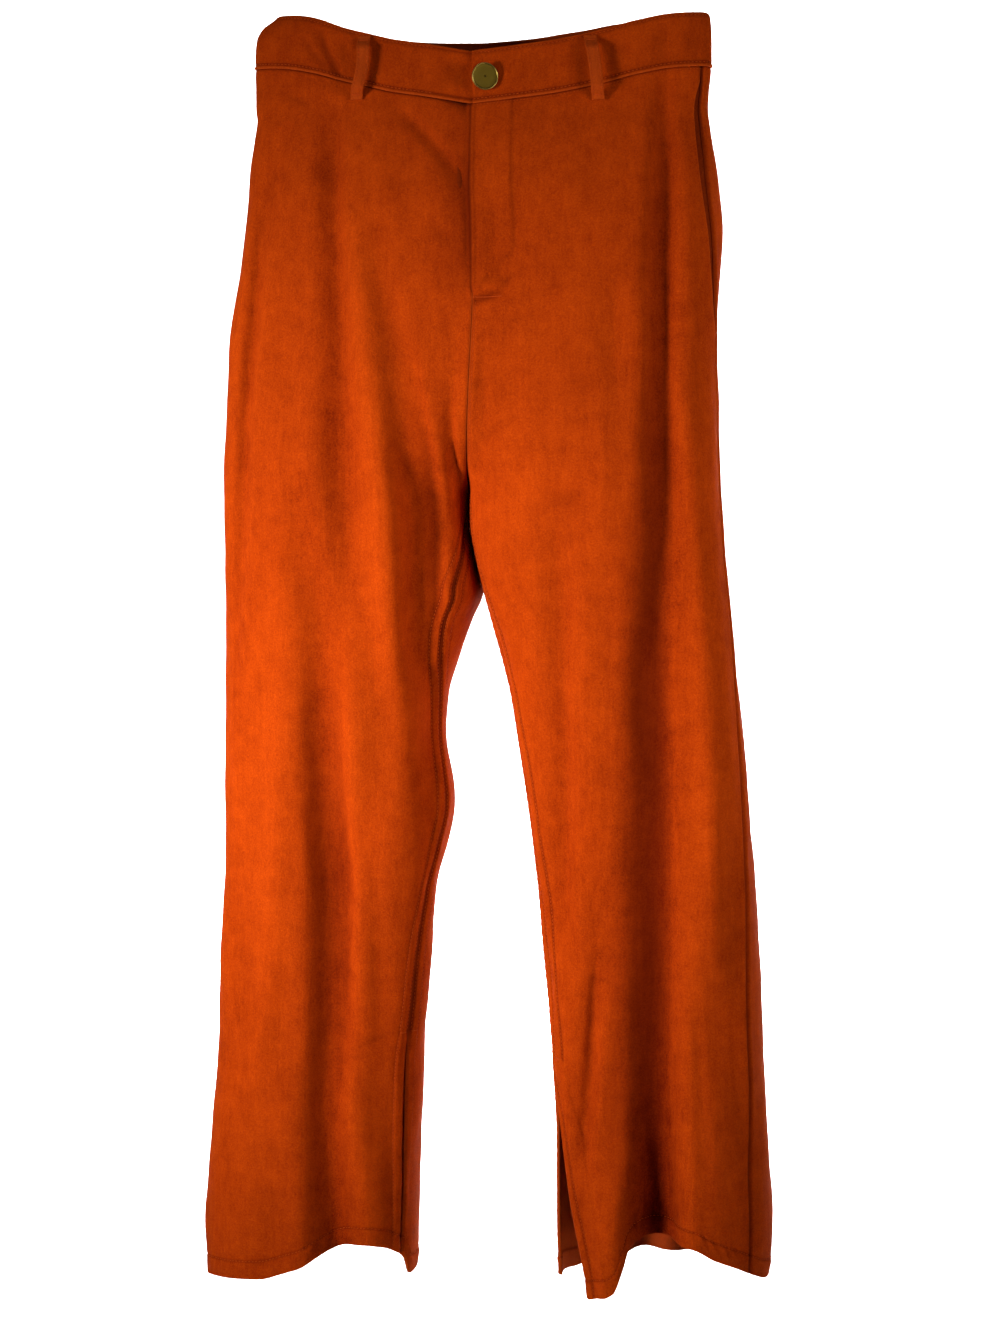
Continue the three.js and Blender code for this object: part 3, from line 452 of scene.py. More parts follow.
# --------------------------------------------------------------------------- meshes
_rng = np.random.default_rng(11)
WAVES = [  # wave vector, phase and height of the soft unevenness of hanging cloth
    (direction / np.linalg.norm(direction) * 2 * math.pi / length, phase, length * 0.0042)
    for direction, length, phase in zip(
        _rng.normal(size=(26, 3)) * (1, 1, 0.45),
        _rng.uniform(24, 95, 26),
        _rng.uniform(0, 2 * math.pi, 26),
    )
]


def unevenness(points):
    """Sum of 26 sine waves through space, 24 to 95 mm long, so that it runs on across seams."""
    return sum(h * np.sin(points @ k + phase) for k, phase, h in WAVES)


def near_line(distance, at, width):
    """1 on a line, falling off beside it as a bell curve of that width."""
    return np.exp(-(((distance - at) / width) ** 2))


def valley(distance, at, width, depth):
    """Height of a groove of that depth along a line."""
    return -depth * near_line(distance, at, width)


def grid_faces(rows, cols, wrap=False):
    """Quads of a grid of points numbered row by row, closed round its columns if wrap."""
    r, c = np.meshgrid(np.arange(rows - 1), np.arange(cols if wrap else cols - 1), indexing="ij")
    a = r * cols + c
    b = r * cols + (c + 1) % cols
    return np.stack([a, a + cols, b + cols, b], -1).reshape(-1, 4)


def linked(name, data):
    """A new object in the scene."""
    obj = bpy.data.objects.new(name, data)
    bpy.context.scene.collection.objects.link(obj)
    return obj


def point_values(mesh, name, values):
    """Keeps a number at each of the mesh's points."""
    layer = mesh.attributes.new(name, "FLOAT", "POINT")
    layer.data.foreach_set("value", np.asarray(values, np.float32).ravel())


def mesh_object(name, points, quads, triangles=(), attributes=None, uv=None):
    """Mesh from points in millimetres. Faces are turned so that the signed volume is positive."""
    triangles = np.asarray(triangles, int).reshape(-1, 3)
    corner = points[np.concatenate([quads[:, [0, 1, 2]], quads[:, [0, 2, 3]], triangles])]
    volume = np.einsum("ij,ij->i", corner[:, 0], np.cross(corner[:, 1], corner[:, 2])).sum()
    turn = 1 if volume >= 0 else -1
    mesh = bpy.data.meshes.new(name)
    faces = quads[:, ::turn].tolist() + triangles[:, ::turn].tolist()
    mesh.from_pydata((points * MM).tolist(), [], faces)
    for key, values in (attributes or {}).items():
        point_values(mesh, key, values)
    if uv is not None:
        corners = np.zeros(len(mesh.loops), np.int32)
        mesh.loops.foreach_get("vertex_index", corners)
        layer = mesh.uv_layers.new(name="cloth")
        layer.data.foreach_set("uv", np.asarray(uv, np.float32).reshape(-1, 2)[corners].ravel())
    mesh.polygons.foreach_set("use_smooth", np.ones(len(mesh.polygons), bool))
    mesh.update()
    return linked(name, mesh)


def shell(name, outer, inner, attributes, uv):
    """Closed wall between two grids of points: both faces and the four edges between them. The
    attributes and the flat coordinates uv are the same on both faces."""
    rows, cols = outer.shape[:2]
    n = rows * cols
    face = grid_faces(rows, cols)
    i = np.arange(n).reshape(rows, cols)
    rim = np.concatenate([i[0, :], i[1:, -1], i[-1, -2::-1], i[-2:0:-1, 0]])
    nxt = np.roll(rim, -1)
    sides = np.stack([rim, nxt, nxt + n, rim + n], -1)
    faces = np.concatenate([face, face[:, ::-1] + n, sides])
    both = {
        key: np.tile(np.ravel(np.broadcast_to(values, (rows, cols))), 2)
        for key, values in attributes.items()
    }
    both["inside"] = np.repeat([0, 1], n)
    points = np.concatenate([outer.reshape(-1, 3), inner.reshape(-1, 3)])
    flat = np.stack(np.broadcast_arrays(*uv), -1).reshape(-1, 2) * MM
    return mesh_object(name, points, faces, (), both, np.tile(flat, (2, 1)))


# --------------------------------------------------------------------------- panels
# Distances of the grid's lines from the inner edge, the outer edge, the hem and the band.
NEAR_STEPS = [0, 0.35, 0.8, 1.3, 1.8, 2.3, 3.0, 4.0, 5.2, 6.6, 7.6, 8.1, 8.6, 9.1, 9.8, 11, 13]
NEAR_STEPS_FORWARD = [
    0, 0.4, 0.9, 1.5, 2.3, 3.1, 4.5, 6.6, 8, 8.6, 9.3, 10.7, 11.4, 12, 12.6, 13.4, 15.5, 18.5, 21, 22.3,
    23, 23.7, 25,
]
FAR_STEPS = [0, 0.35, 0.8, 1.3, 1.8, 2.4, 3.4, 5, 7.5]
HEM_STEPS = [0, 0.4, 1, 2, 3.5, 5.5, 8, 10.5, 12.6, 13.8, 14.5, 15, 15.5, 16.2, 17.4, 19.4, 22]
TOP_STEPS = [0, 0.4, 0.9, 1.5, 2.1, 2.5, 2.9, 3.5, 4.6]
MIDDLE_STRIPS = {"front": 94, "back": 68} if FINE else {"front": 44, "back": 44}
ROW_STEP = {"front": 2.65, "back": 3.4} if FINE else {"front": 6, "back": 6}


def panel_levels(face):
    """Levels from the band's lower edge to the hem: even steps, finer at top, crotch and hem."""
    top = PANEL_TOP - np.array(TOP_STEPS)
    upper = np.arange(top[-1] - 2, CROTCH + 8, -ROW_STEP[face])
    fork = CROTCH + np.array([7, 4.5, 2.5, 1, 0])
    lower = np.arange(CROTCH - 3, HEM + 24, -ROW_STEP[face])
    hem = HEM + np.array(HEM_STEPS[::-1])
    return np.concatenate([top, upper, fork, lower, hem])


def section_runs(side, first, last, level):
    """Shares of the way from one angle to another and the length run along the section at each."""
    share = np.linspace(0, 1, SAMPLES)
    angles = first[:, None] + (last - first)[:, None] * share
    step = np.linalg.norm(np.diff(surface_point(side, angles, level[:, None], 0), axis=1), axis=-1)
    return share, angles, np.concatenate([np.zeros((len(level), 1)), np.cumsum(step, 1)], 1)


def panel_grid(side, face):
    """Angles, levels and distances from the inner edge of a panel's grid. Columns lie at fixed
    distances from both edges and evenly between them, measured along each section."""
    level = panel_levels(face)
    first, last = edge_angles(side, face, level)
    _, angles, length = section_runs(side, first, last, level)
    clear = np.where(level <= CROTCH, SEAM_GAP / 2, 0)
    mouth = sided(SIDES, side, level, 3) * (face == "front")
    start, end = clear, length[:, -1] - SEAM_GAP / 2 - mouth
    forward = INSEAM_ROWS[face, side][1] > NEAR_STEPS[-1]
    near, far = np.array(NEAR_STEPS_FORWARD if forward else NEAR_STEPS), np.array(FAR_STEPS)
    middle = np.linspace(0, 1, MIDDLE_STRIPS[face] + 1)[1:-1]
    a, b = start + near[-1], end - far[-1]
    want = np.concatenate([
        start[:, None] + near, a[:, None] + (b - a)[:, None] * middle, end[:, None] - far[::-1],
    ], 1)
    angle = np.array([np.interp(w, row, turn) for w, row, turn in zip(want, length, angles)])
    return dict(
        angle=angle, level=level[:, None] + 0 * angle, near=want - start[:, None],
        far=end[:, None] - want, total=length[:, -1:], want=want, mouth=mouth[:, None] + 0 * angle,
    )


def drape(side, face, near, far, level, points):
    """Height of the soft unevenness and the creases above the folded surface, dying away at both
    edges and under the band. Also the painted shade they lie in: a share of what a crease has
    beyond 3 mm, and of each short one."""
    edge = np.minimum(near, far)
    x, z = points[..., 0], points[..., 2]
    soft = unevenness(points) * ease(edge / 14) * ease((-level - 42) / 20)
    if face == "front" and side < 0:
        width = np.where(near < 5.5, 2.4, 16)
        soft = soft + valley(near, 5.5, width, along(FLY_HOLLOW, level, 1))
    long = troughs(CREASES[face], x, z)
    short = ease(edge / 3.5) * short_creases(MARKS[face], x, z)
    shade = 0.12 * np.maximum(long - 3, 0) + 0.3 * np.maximum(short, 0)
    return soft - ease(edge / 10) * long - short, shade


def relief(side, face, g):
    """Height of seams, stitching, hem and fly above the draped surface, and the painted shade
    along them: under the band's edge, in the seams and rows of stitching, at the hem and beside
    the fly."""
    near, far, level, want = g["near"], g["far"], g["level"], g["want"]
    up, under_band = level - HEM, PANEL_TOP - level
    leg = ease((CROTCH - level) / 12)
    slit = ease((SLIT[side] - level) / 4)
    fly = (face == "front") * ease((level - FLY_END) / 3)
    closed = 1 - ease(g["mouth"] / 1.5)
    # Seams: both edges roll in, except a folded slit, fly or pocket edge, which stays full.
    h = valley(under_band, 0, 1.4, 1.2)
    h += valley(near, 0, 1.5, 1) * (0.5 + 0.8 * leg) * (1 - slit) * (1 - fly)
    h += (valley(far, 0, 1.4, 1.6) + 0.35 * near_line(far, 3.4, 1.6)) * closed
    # Painted shade under the band's edge and along the seams.
    shade = 0.9 * near_line(under_band, 0, 1.7)
    shade += near_line(near, 0, 1.4) * (0.35 + 0.55 * fly + 0.3 * leg) * (1 - 0.5 * slit)
    shade += 0.7 * near_line(far, 0, 1.4) * closed
    # Inner leg: a felled seam, raised between its two rows of stitching, puckered along them.
    inner_row, outer_row = INSEAM_ROWS[face, side]
    felled = ease((near - 1) / 1.2) * (1 - ease((near - outer_row) / 1.4))
    h += leg * felled * (0.75 + 0.26 * np.sin(level * 2 * math.pi / 7.3 + near))
    for at, width in ((inner_row, 1.0), (outer_row, 1.1)):
        h += leg * (1 - slit) * valley(near, at, 0.8, 0.75)
        shade += leg * (1 - slit) * 0.6 * near_line(near, at, width)
    # Slit: the turned edge, one row of stitching.
    row = SLIT_TURN + 0.6
    h += slit * (valley(near, row, 0.8, 0.8) + valley(near, 0, 0.8, 0.5)
                 + 0.35 * (1 - ease((near - SLIT_TURN) / 1.2)))
    shade += slit * 0.5 * near_line(near, row, 1.0)
    # Hem: two plies, one row of stitching, drawn into short slanting ripples.
    ripple = np.sin((want * 0.9 + up * 0.55) * 2 * math.pi / 9.5 + 1.4 * np.sin(want / 23))
    h += 0.45 * (1 - ease((up - HEM_TURN + 0.6) / 1.6))
    h += 0.4 * ripple * ease(up / 4) * near_line(up, HEM_TURN - 3, 7)
    h += valley(up, HEM_TURN, 0.9, 0.9) + valley(up, 0, 0.8, 0.45)
    shade += 0.45 * near_line(up, HEM_TURN, 1.0)
    if face == "front" and side > 0:
        # Upper side of the fly: a thick edge, the facing showing through behind its stitching.
        h += fly * (0.5 * (1 - ease((near - 1) / 22)) + valley(near, 0, 1.2, 0.9))
        h += fly * valley(near, FLY_ROW, 0.7, 0.3) + valley(under_band, TOP_ROW, 0.6, 0.35)
        shade += fly * 0.35 * near_line(near, FLY_ROW, 0.9)
        facing = FLY_FACING - 24 * ease((FLY_END + 34 - level) / 30)
        backed = ease((level - FLY_END + 12) / 14) * ease((level - FLY_END + 6) / 8)
        h += backed * 0.6 * (1 - ease((near - facing + 1.2) / 2.4))
        # Painted shade along the facing's edge.
        shade += backed * 0.3 * near_line(near, facing, 1.4)
        h += valley(near, CENTRE_ROW, 0.7, 0.35) * ease((level - CROTCH - 4) / 6) * (1 - fly)
    elif face == "front":
        # Lower side of the fly: sunk beneath the upper one, and beneath the band's under end.
        h -= fly * 0.9 * (1 - ease(near / 7))
        # Painted shadow in the hollow beside the fly's edge, darker where the hollow is deeper.
        hollow = along(FLY_HOLLOW, level, 1) / 4
        shade += fly * hollow * (0.75 * near_line(near, 0, 6) + 0.35 * near_line(near, 5, 13))
        tuck = (BAND_THICK + SEAM_GAP) * ease((BAND_SLOPE - near) / BAND_SLOPE)
        h += valley(under_band, 0, 6, tuck * ease((near - 3) / 4))
    return h, shade


def panel(side, face):
    """A panel as a thin closed wall: the folded surface raised by its relief, and the same
    surface one ply further in, nearly two where the hem or slit is turned. Returns the piece,
    its grid, outer points and normals, its greatest width and its area, the sum of the mean of
    two rows' widths times the step between them."""
    g = panel_grid(side, face)
    near, far, level = g["near"], g["far"], g["level"]
    margin = ease(np.minimum(near, far) / FOLD_MARGIN)
    base = surface_point(side, g["angle"], level, margin)
    normal = outward(side, g["angle"], level, margin)
    soft, crease_shade = drape(side, face, near, far, level, base)
    height, shade = relief(side, face, g)
    up = level - HEM
    slit = ease((SLIT[side] - level) / 4)
    turned_edge = slit * (1 - ease((near - SLIT_TURN) / 0.8))
    ply = CLOTH * (1 + 0.75 * np.maximum(1 - ease((up - HEM_TURN) / 0.8), turned_edge))
    outer = base + normal * (soft + height)[..., None]
    inner = base + normal * (soft + np.minimum(height * 0.5, 0.4) - ply)[..., None]
    if side > 0 and face == "front":
        lap = FLY_LAP * ease((level - FLY_END) / 4) * (1 - ease(near / 9))
        outer[..., 0] -= lap
        inner[..., 0] -= lap
    elif side > 0:
        inner[..., 0] -= SEAM_LAP * (1 - ease(near / 2)) * (level > CROTCH)
    # fold carries the valley depth that the suede darkens as painted shade; groove carries the painted
    # shade along seams, stitching and creases.
    values = {
        "fold": margin * fold_depth(face, base[..., 0], base[..., 2]) - soft,
        "edge": np.minimum(np.minimum(near, far), up),
        "groove": np.clip(shade + crease_shade, 0, 1),
    }
    obj = shell(f"{face}_panel_{HAND[side]}", outer, inner, values, (g["want"], level))
    girth = g["total"][:, 0]
    area = float(np.abs(np.diff(level[:, 0])) @ ((girth[1:] + girth[:-1]) / 2)) * MM**2
    return obj, g, outer, normal, girth.max() * MM, area


# --------------------------------------------------------------------------- stitching
# Pitch, length, radius and lift of the stitches, mm, where they are not the usual ones.
TACK = (0.75, 1.6, 0.36, 0.1)
LOOP_TACK = (0.8, 1.5, 0.32, 0.05)
FINE_STITCH = (2.6, 1.9, 0.22, 0.05)


def stitch_run(path, normal, pitch=3.1, length=2.3, radius=0.27, lift=0.1):
    """Points and faces of a row of stitches: capsules of six sides, each a stretch of the path
    given by its distance along it, their ends drawn in and sunk. A ring's points are the middle
    plus radius times (cosine across, sine upward)."""
    step = np.linalg.norm(np.diff(path, axis=0), axis=1)
    s = np.concatenate([[0], np.cumsum(step)])
    starts = np.arange(0.4, s[-1] - length, pitch)
    if len(starts) == 0:
        return np.zeros((0, 3)), np.zeros((0, 4), int)
    # Along one stitch: share of its length, of its radius, and its rise in radii.
    profile = np.array([
        (0, 0.15, -0.5), (0.2, 0.8, 0.3), (0.5, 1, 0.6), (0.8, 0.8, 0.3), (1, 0.15, -0.5),
    ])
    t = starts[:, None] + length * profile[:, 0]
    centre = np.stack([np.interp(t, s, path[:, k]) for k in range(3)], -1)
    up = np.stack([np.interp(t, s, normal[:, k]) for k in range(3)], -1)
    up /= np.linalg.norm(up, axis=-1, keepdims=True)
    ahead = np.gradient(centre, axis=1)
    ahead /= np.linalg.norm(ahead, axis=-1, keepdims=True)
    across = np.cross(ahead, up)
    centre = centre + up * (lift + radius * profile[:, 2])[:, None]
    turn = np.arange(6) * math.pi / 3
    ring = across[:, :, None] * np.cos(turn)[:, None] + up[:, :, None] * np.sin(turn)[:, None]
    points = centre[:, :, None] + ring * (radius * profile[:, 1])[:, None, None]
    caps = [(0, 1, 2, 3), (0, 3, 4, 5), (27, 26, 25, 24), (29, 28, 27, 24)]
    one = np.concatenate([grid_faces(5, 6, wrap=True), caps])
    faces = (one[None] + (np.arange(len(starts)) * 30)[:, None, None]).reshape(-1, 4)
    return points.reshape(-1, 3), faces


def stitching(name, runs):
    """One piece from several rows of stitches."""
    points, faces, count = [], [], 0
    for run in runs:
        p, f = stitch_run(*run)
        points.append(p)
        faces.append(f + count)
        count += len(p)
    return mesh_object(name, np.concatenate(points), np.concatenate(faces))


def panel_runs(side, face, g, outer, normal):
    """Rows of stitching on one panel: both inseam rows, the bar tack across them, the slit's
    edge, the hem; on the upper fly panel the centre seam, the band's seam and the fly's tack."""
    level = g["level"][:, 0]

    def column(distance):
        return int(np.abs(g["near"][len(level) // 2] - distance).argmin())

    def row(height):
        return int(np.abs(level - height).argmin())

    def run(rows, columns, *stitch):
        return (outer[rows, columns], normal[rows, columns], *stitch)

    below = (level < CROTCH - 2) & (level > SLIT[side])
    first, last = [column(at) for at in INSEAM_ROWS[face, side]]
    runs = [
        run(below, first), run(below, last), run(row(SLIT[side]), slice(first, last + 1), *TACK),
        run(level <= SLIT[side], column(SLIT_TURN + 0.6)), run(row(HEM + HEM_TURN), slice(1, -1)),
    ]
    if face == "front" and side > 0:
        runs += [
            run((level > CROTCH + 6) & (level < FLY_END - 4), column(CENTRE_ROW)),
            run(row(PANEL_TOP - TOP_ROW), slice(3, -1), *FINE_STITCH),
            run(row(FLY_END - 3), slice(0, 22), *TACK),
        ]
    return runs


# --------------------------------------------------------------------------- waistband
def level_normal(side, angle, level):
    """The surface's normal made level: its z set to 0, divided by its length."""
    normal = outward(side, angle, level, 0) * (1, 1, 0)
    return normal / np.linalg.norm(normal, axis=-1, keepdims=True)


def band_inset(side, angle, level, inset):
    """Point of the waistband: the surface moved inwards along its level normal."""
    normal = level_normal(side, angle, level)
    return surface_point(side, angle, level, 0) - normal * np.asarray(inset)[..., None], normal


def angle_at(side, x, level, middle=90.0):
    """Angle on a side at which the surface has a given x, by halving between side and middle."""
    x, level = np.broadcast_arrays(np.asarray(x, float), np.asarray(level, float))
    a, b = np.zeros(x.shape), np.full(x.shape, middle)
    for _ in range(34):
        c = (a + b) / 2
        beyond = side * surface_point(side, c, level, 0)[..., 0] > side * x
        a, b = np.where(beyond, c, a), np.where(beyond, b, c)
    return (a + b) / 2


def band_stations(count):
    """Sides and angles round the band from the upper end at the centre front, evenly by length."""
    round_plus = np.linspace(90, -90, SAMPLES)
    round_minus = round_plus[::-1][1:]
    points = np.concatenate([surface_point(1, round_plus, BAND_MIDDLE, 0),
                             surface_point(-1, round_minus, BAND_MIDDLE, 0)])
    s = np.concatenate([[0], np.cumsum(np.linalg.norm(np.diff(points, axis=0), axis=1))])
    want = np.linspace(0, s[-1], count)
    side = np.where(want <= s[SAMPLES - 1], 1, -1)
    plus = np.interp(want, s[:SAMPLES], round_plus)
    minus = np.interp(want, s[SAMPLES:], round_minus)
    return side, np.where(side > 0, plus, minus), want, s[-1]


def waistband():
    """The band: one strip round the waist whose under end slips beneath the upper one. Across it
    the section is a flat tube with rounded edges, drawn in along two rows of stitching."""
    side, angle, run, length = band_stations(430 if FINE else 220)
    sunk = BAND_THICK + SEAM_GAP
    under = sunk * ease((run - (length - BAND_SLOPE)) / (BAND_SLOPE - 2))
    reach = np.linspace(1.5, BAND_UNDERLAP, 18)
    end_angle = angle_at(1, along(CENTRE, BAND_MIDDLE, 1) + reach, BAND_MIDDLE)
    side = np.concatenate([side, np.ones(18)])
    under = np.concatenate([under, np.full(18, sunk)])[:, None]
    run = np.concatenate([run, length + reach])[:, None]
    # Distance down from the upper edge, and how far the section is drawn in there: the outer
    # face ends in a raised roll that overhangs the panels, the inner face stops at its height.
    steps = np.array([0, 0.5, 1.1, 1.7, 2.3, 3.2, 5, 8, 11, 14, 17, 20, 23, 26, 29, 32, 34.5, 36,
                      36.9, 37.4, 37.9, 38.5, 39.1, 39.8, 40.5, 40.9, 40.7, 39.8])
    upper = [0.85, 0.45, 0.15, 0.05, 0.1, 0] + [0] * 12
    depth = np.array(upper + [0.15, 0.5, 0.35, -0.05, -0.4, -0.45, -0.25, 0.1, 0.4, 0.5])
    back_depth = np.array(upper + [0, 0, 0.05, 0.15, 0.3, 0.5, 0.7, 0.9, 1.1, 1.2])
    level = 0 * run - steps
    angle = np.concatenate([angle, end_angle])[:, None] + 0 * level
    out, inn, normal = np.zeros((3, *level.shape, 3))
    for sign in (1, -1):
        m = side == sign
        face = -BAND_PROUD + under[m] + depth
        back = -BAND_PROUD + BAND_THICK + under[m] - back_depth
        out[m], normal[m] = band_inset(sign, angle[m], level[m], face)
        inn[m], _ = band_inset(sign, angle[m], np.maximum(level[m], -BAND_HEIGHT), back)
    # Cockled along both edges, except where the under end is hidden.
    free = ease(run / 6) * (under < 0.4)
    edge = np.maximum(np.minimum(steps, BAND_HEIGHT - steps), 0)
    h = 0.1 * np.sin(run * 2 * math.pi / 6.7 + steps) * (1 - ease((edge - 3) / 5)) * free
    h += valley(steps, BAND_ROWS[0], 0.7, 0.35) + unevenness(out) * 0.45 * ease(edge / 8) * free
    crease = np.where(out[..., 1] < 0, troughs(BAND_CREASES, out[..., 0], out[..., 2]), 0)
    crease *= ease(edge / 5)
    # The upper end is a folded edge: it rounds over.
    end = 0.7 * np.exp(-((run / 0.9) ** 2))
    out += normal * (h - crease - end)[..., None]
    inn -= normal * crease[..., None]
    # Painted shade along both rows of stitching and in the band's creases.
    groove = 0.6 * near_line(steps, BAND_ROWS[0], 0.9) + 0.8 * near_line(steps, BAND_ROWS[1], 1.0)
    values = {"fold": 0, "edge": edge, "groove": groove + 0.13 * np.maximum(crease, 0)}
    obj = shell("waistband_cloth", out, inn, values, (run, level))
    in_sight = run[:, 0] < length - 30
    columns = [int(np.abs(steps - at).argmin()) for at in BAND_ROWS]
    return obj, [(out[in_sight, c], normal[in_sight, c]) for c in columns], length + BAND_UNDERLAP


# --------------------------------------------------------------------------- trim
def cap(ring, middle, flip):
    """Triangles between a ring of point numbers and the point in its middle."""
    pair = (np.roll(ring, -1), ring) if flip else (ring, np.roll(ring, -1))
    return np.stack([*pair, np.full(len(ring), middle)], -1)


def belt_loop(name, side, top_x, bottom_x, middle, lean):
    """A folded strip sewn at both ends and bowed out between them. Its section is a flat bar with
    rounded edges and a shallow groove inside each. It leans by an angle that grows as the sine
    along it. Returns the piece and its rows of stitches."""
    count = 44
    t = np.linspace(0, 1, count)
    level = LOOP_TOP + (LOOP_BOTTOM - LOOP_TOP) * t
    angle = (np.full(count, middle) if top_x is None
             else angle_at(side, top_x + (bottom_x - top_x) * t, level, middle))
    base = surface_point(side, angle, level, 1)
    normal = level_normal(side, angle, level)
    across = np.stack([-normal[:, 1], normal[:, 0], np.zeros(count)], -1)
    turn = (np.radians(lean) * np.sin(math.pi * t))[:, None]
    normal, across = (normal * np.cos(turn) + across * np.sin(turn),
                      across * np.cos(turn) - normal * np.sin(turn))
    rest = BAND_PROUD + (LOOP_SEAT - BAND_PROUD) * ease((t - 0.7) / 0.18) + LOOP_SEAT
    bow = (LOOP_BOW - 0.6) * ease(np.minimum(t, 1 - t) / 0.22)
    half = LOOP_WIDTH / 2 - 0.15
    ridge = [(half, 0.5), (half, 1.3), (half - 0.4, 1.75), (half - 1.1, 1.85), (half - 1.6, 1.6),
             (half - 2.2, 1.85)]
    shape = np.array([(-x, y) for x, y in ridge] + [(0, 1.95)] + ridge[::-1]
                     + [(half - 0.5, 0.1), (0, 0.05), (0.5 - half, 0.1)])
    middle_line = base + normal * (rest + bow)[:, None]
    points = (middle_line[:, None] + across[:, None] * shape[:, :1] + normal[:, None] * shape[:, 1:])
    n = len(shape)
    flat = np.concatenate([points.reshape(-1, 3), [points[0].mean(0), points[-1].mean(0)]])
    k = np.arange(n)
    ends = np.concatenate([cap(k, count * n, False), cap(k + (count - 1) * n, count * n + 1, True)])
    obj = mesh_object(name, flat, grid_faces(count, n, wrap=True), ends)
    rows = [(points[2:-2, c], normal[2:-2]) for c in (4, 8)]
    for r in (3, count - 4):
        path = middle_line[r] + across[r] * np.linspace(-3.6, 3.6, 10)[:, None] + normal[r] * 1.85
        rows.append((path, np.repeat(normal[r][None], 10, 0), *LOOP_TACK))
    return obj, rows


def turned(name, profile, foot, axis, across, segments=72):
    """A profile of radius and height turned round an axis: radius times the turned direction,
    plus height along the axis."""
    profile = np.array(profile, float)
    turn = np.arange(segments)[:, None] * 2 * math.pi / segments
    ring = across * np.cos(turn) + np.cross(axis, across) * np.sin(turn)
    centres = foot + profile[:, 1:] * axis
    body = centres[1:-1, None] + profile[1:-1, 0][:, None, None] * ring
    n = len(body)
    points = np.concatenate([body.reshape(-1, 3), centres[[0, -1]]])
    k = np.arange(segments)
    low, high = cap(k, n * segments, True), cap(k + (n - 1) * segments, n * segments + 1, False)
    return mesh_object(name, points, grid_faces(n, segments, wrap=True), np.concatenate([low, high]))


def pocket(side):
    """Facing and bag behind the front panel, one leaf that reaches past the side seam. Returns
    the piece, its greatest width, its length and its area."""
    level = np.linspace(POCKET_TOP, POCKET_BOTTOM, 90)
    first, seam = edge_angles(side, "front", level)
    share = np.linspace(0, 1, 60)
    start = first + (seam - first) * (0.46 + 0.10 * ease((POCKET_BOTTOM + 50 - level) / 50))
    angle = start[:, None] + (seam - POCKET_PAST - start)[:, None] * share
    level = level[:, None] + 0 * angle
    known, _, runs = section_runs(side, first, seam, level[:, 0])
    way = (angle - first[:, None]) / (seam - first)[:, None]
    run = np.array([np.interp(w, known, row) for w, row in zip(way, runs)])
    mouth = sided(SIDES, side, level, 3)
    far = np.maximum(runs[:, -1:] - SEAM_GAP / 2 - mouth - run, 0)
    margin = ease(far / FOLD_MARGIN)
    base = surface_point(side, angle, level, margin)
    normal = outward(side, angle, level, margin)
    sink = POCKET_INSET + 0.25 + 0.6 * ease((share - 0.9) / 0.1)
    sink = sink - drape(side, "front", run, far, level, base)[0]
    outer = base - normal * sink[..., None]
    inner = base - normal * (sink + 1.0)[..., None]
    values = {"fold": 0, "edge": 20}
    obj = shell(f"pocket_bag_{HAND[side]}", outer, inner, values, (angle * 1.9, level))
    width = np.linalg.norm(np.diff(outer, axis=1), axis=-1).sum(1)
    area = float(((width[1:] + width[:-1]) / 2 * np.abs(np.diff(level[:, 0]))).sum()) * MM**2
    return obj, float(width.max()) * MM, (POCKET_TOP - POCKET_BOTTOM) * MM, area


def fly_point(x, level, depth):
    """Point behind the centre front at a depth below the surface."""
    centre = along(CENTRE, level, 1)
    plus = surface_point(1, angle_at(1, np.maximum(x, centre + 0.2), level), level, 0)
    minus = surface_point(-1, angle_at(-1, np.minimum(x, centre - 0.2), level), level, 0)
    return np.stack([x, np.where(x >= centre, plus[..., 1], minus[..., 1]) + depth, level], -1)


def fly_shield():
    """The shield behind the zip: a doubled strip, rounded at its lower end."""
    level = np.linspace(-BAND_HEIGHT - 1.2, -BAND_HEIGHT - 146, 70)
    t = np.linspace(0, 1, 70)
    left = along(CENTRE, level, 1) - 12
    right = left + 36 - 10 * ease((t - 0.8) / 0.2)
    x = left[:, None] + (right - left)[:, None] * np.linspace(0, 1, 24)
    level = level[:, None] + 0 * x
    outer = fly_point(x, level, SHIELD_NEAR)
    inner = fly_point(x, level, SHIELD_NEAR + SHIELD_THICK)
    return shell("fly_shield_cloth", outer, inner, {"fold": 0, "edge": 10}, (x, level))


# --------------------------------------------------------------------------- finishes
class Val:
    """A number socket in a sum: each operator adds one Math node. Wrapped so that 1 - mask works."""

    def __init__(self, tree, socket):
        self.tree, self.socket = tree, socket

    def _math(self, operation, *values):
        node = self.tree.nodes.new("ShaderNodeMath")
        node.operation = operation
        for slot, value in zip(node.inputs, values):
            if isinstance(value, Val):
                self.tree.links.new(value.socket, slot)
            else:
                slot.default_value = value
        return Val(self.tree, node.outputs[0])

    def __add__(self, other):
        return self._math("ADD", self, other)

    def __sub__(self, other):
        return self._math("SUBTRACT", self, other)

    def __rsub__(self, other):
        return self._math("SUBTRACT", other, self)

    def __mul__(self, other):
        return self._math("MULTIPLY", self, other)

    __radd__, __rmul__ = __add__, __mul__

    def __truediv__(self, other):
        return self._math("DIVIDE", self, other)

    def clamp(self):
        """The value kept between 0 and 1."""
        return self._math("MINIMUM", self._math("MAXIMUM", self, 0.0), 1.0)


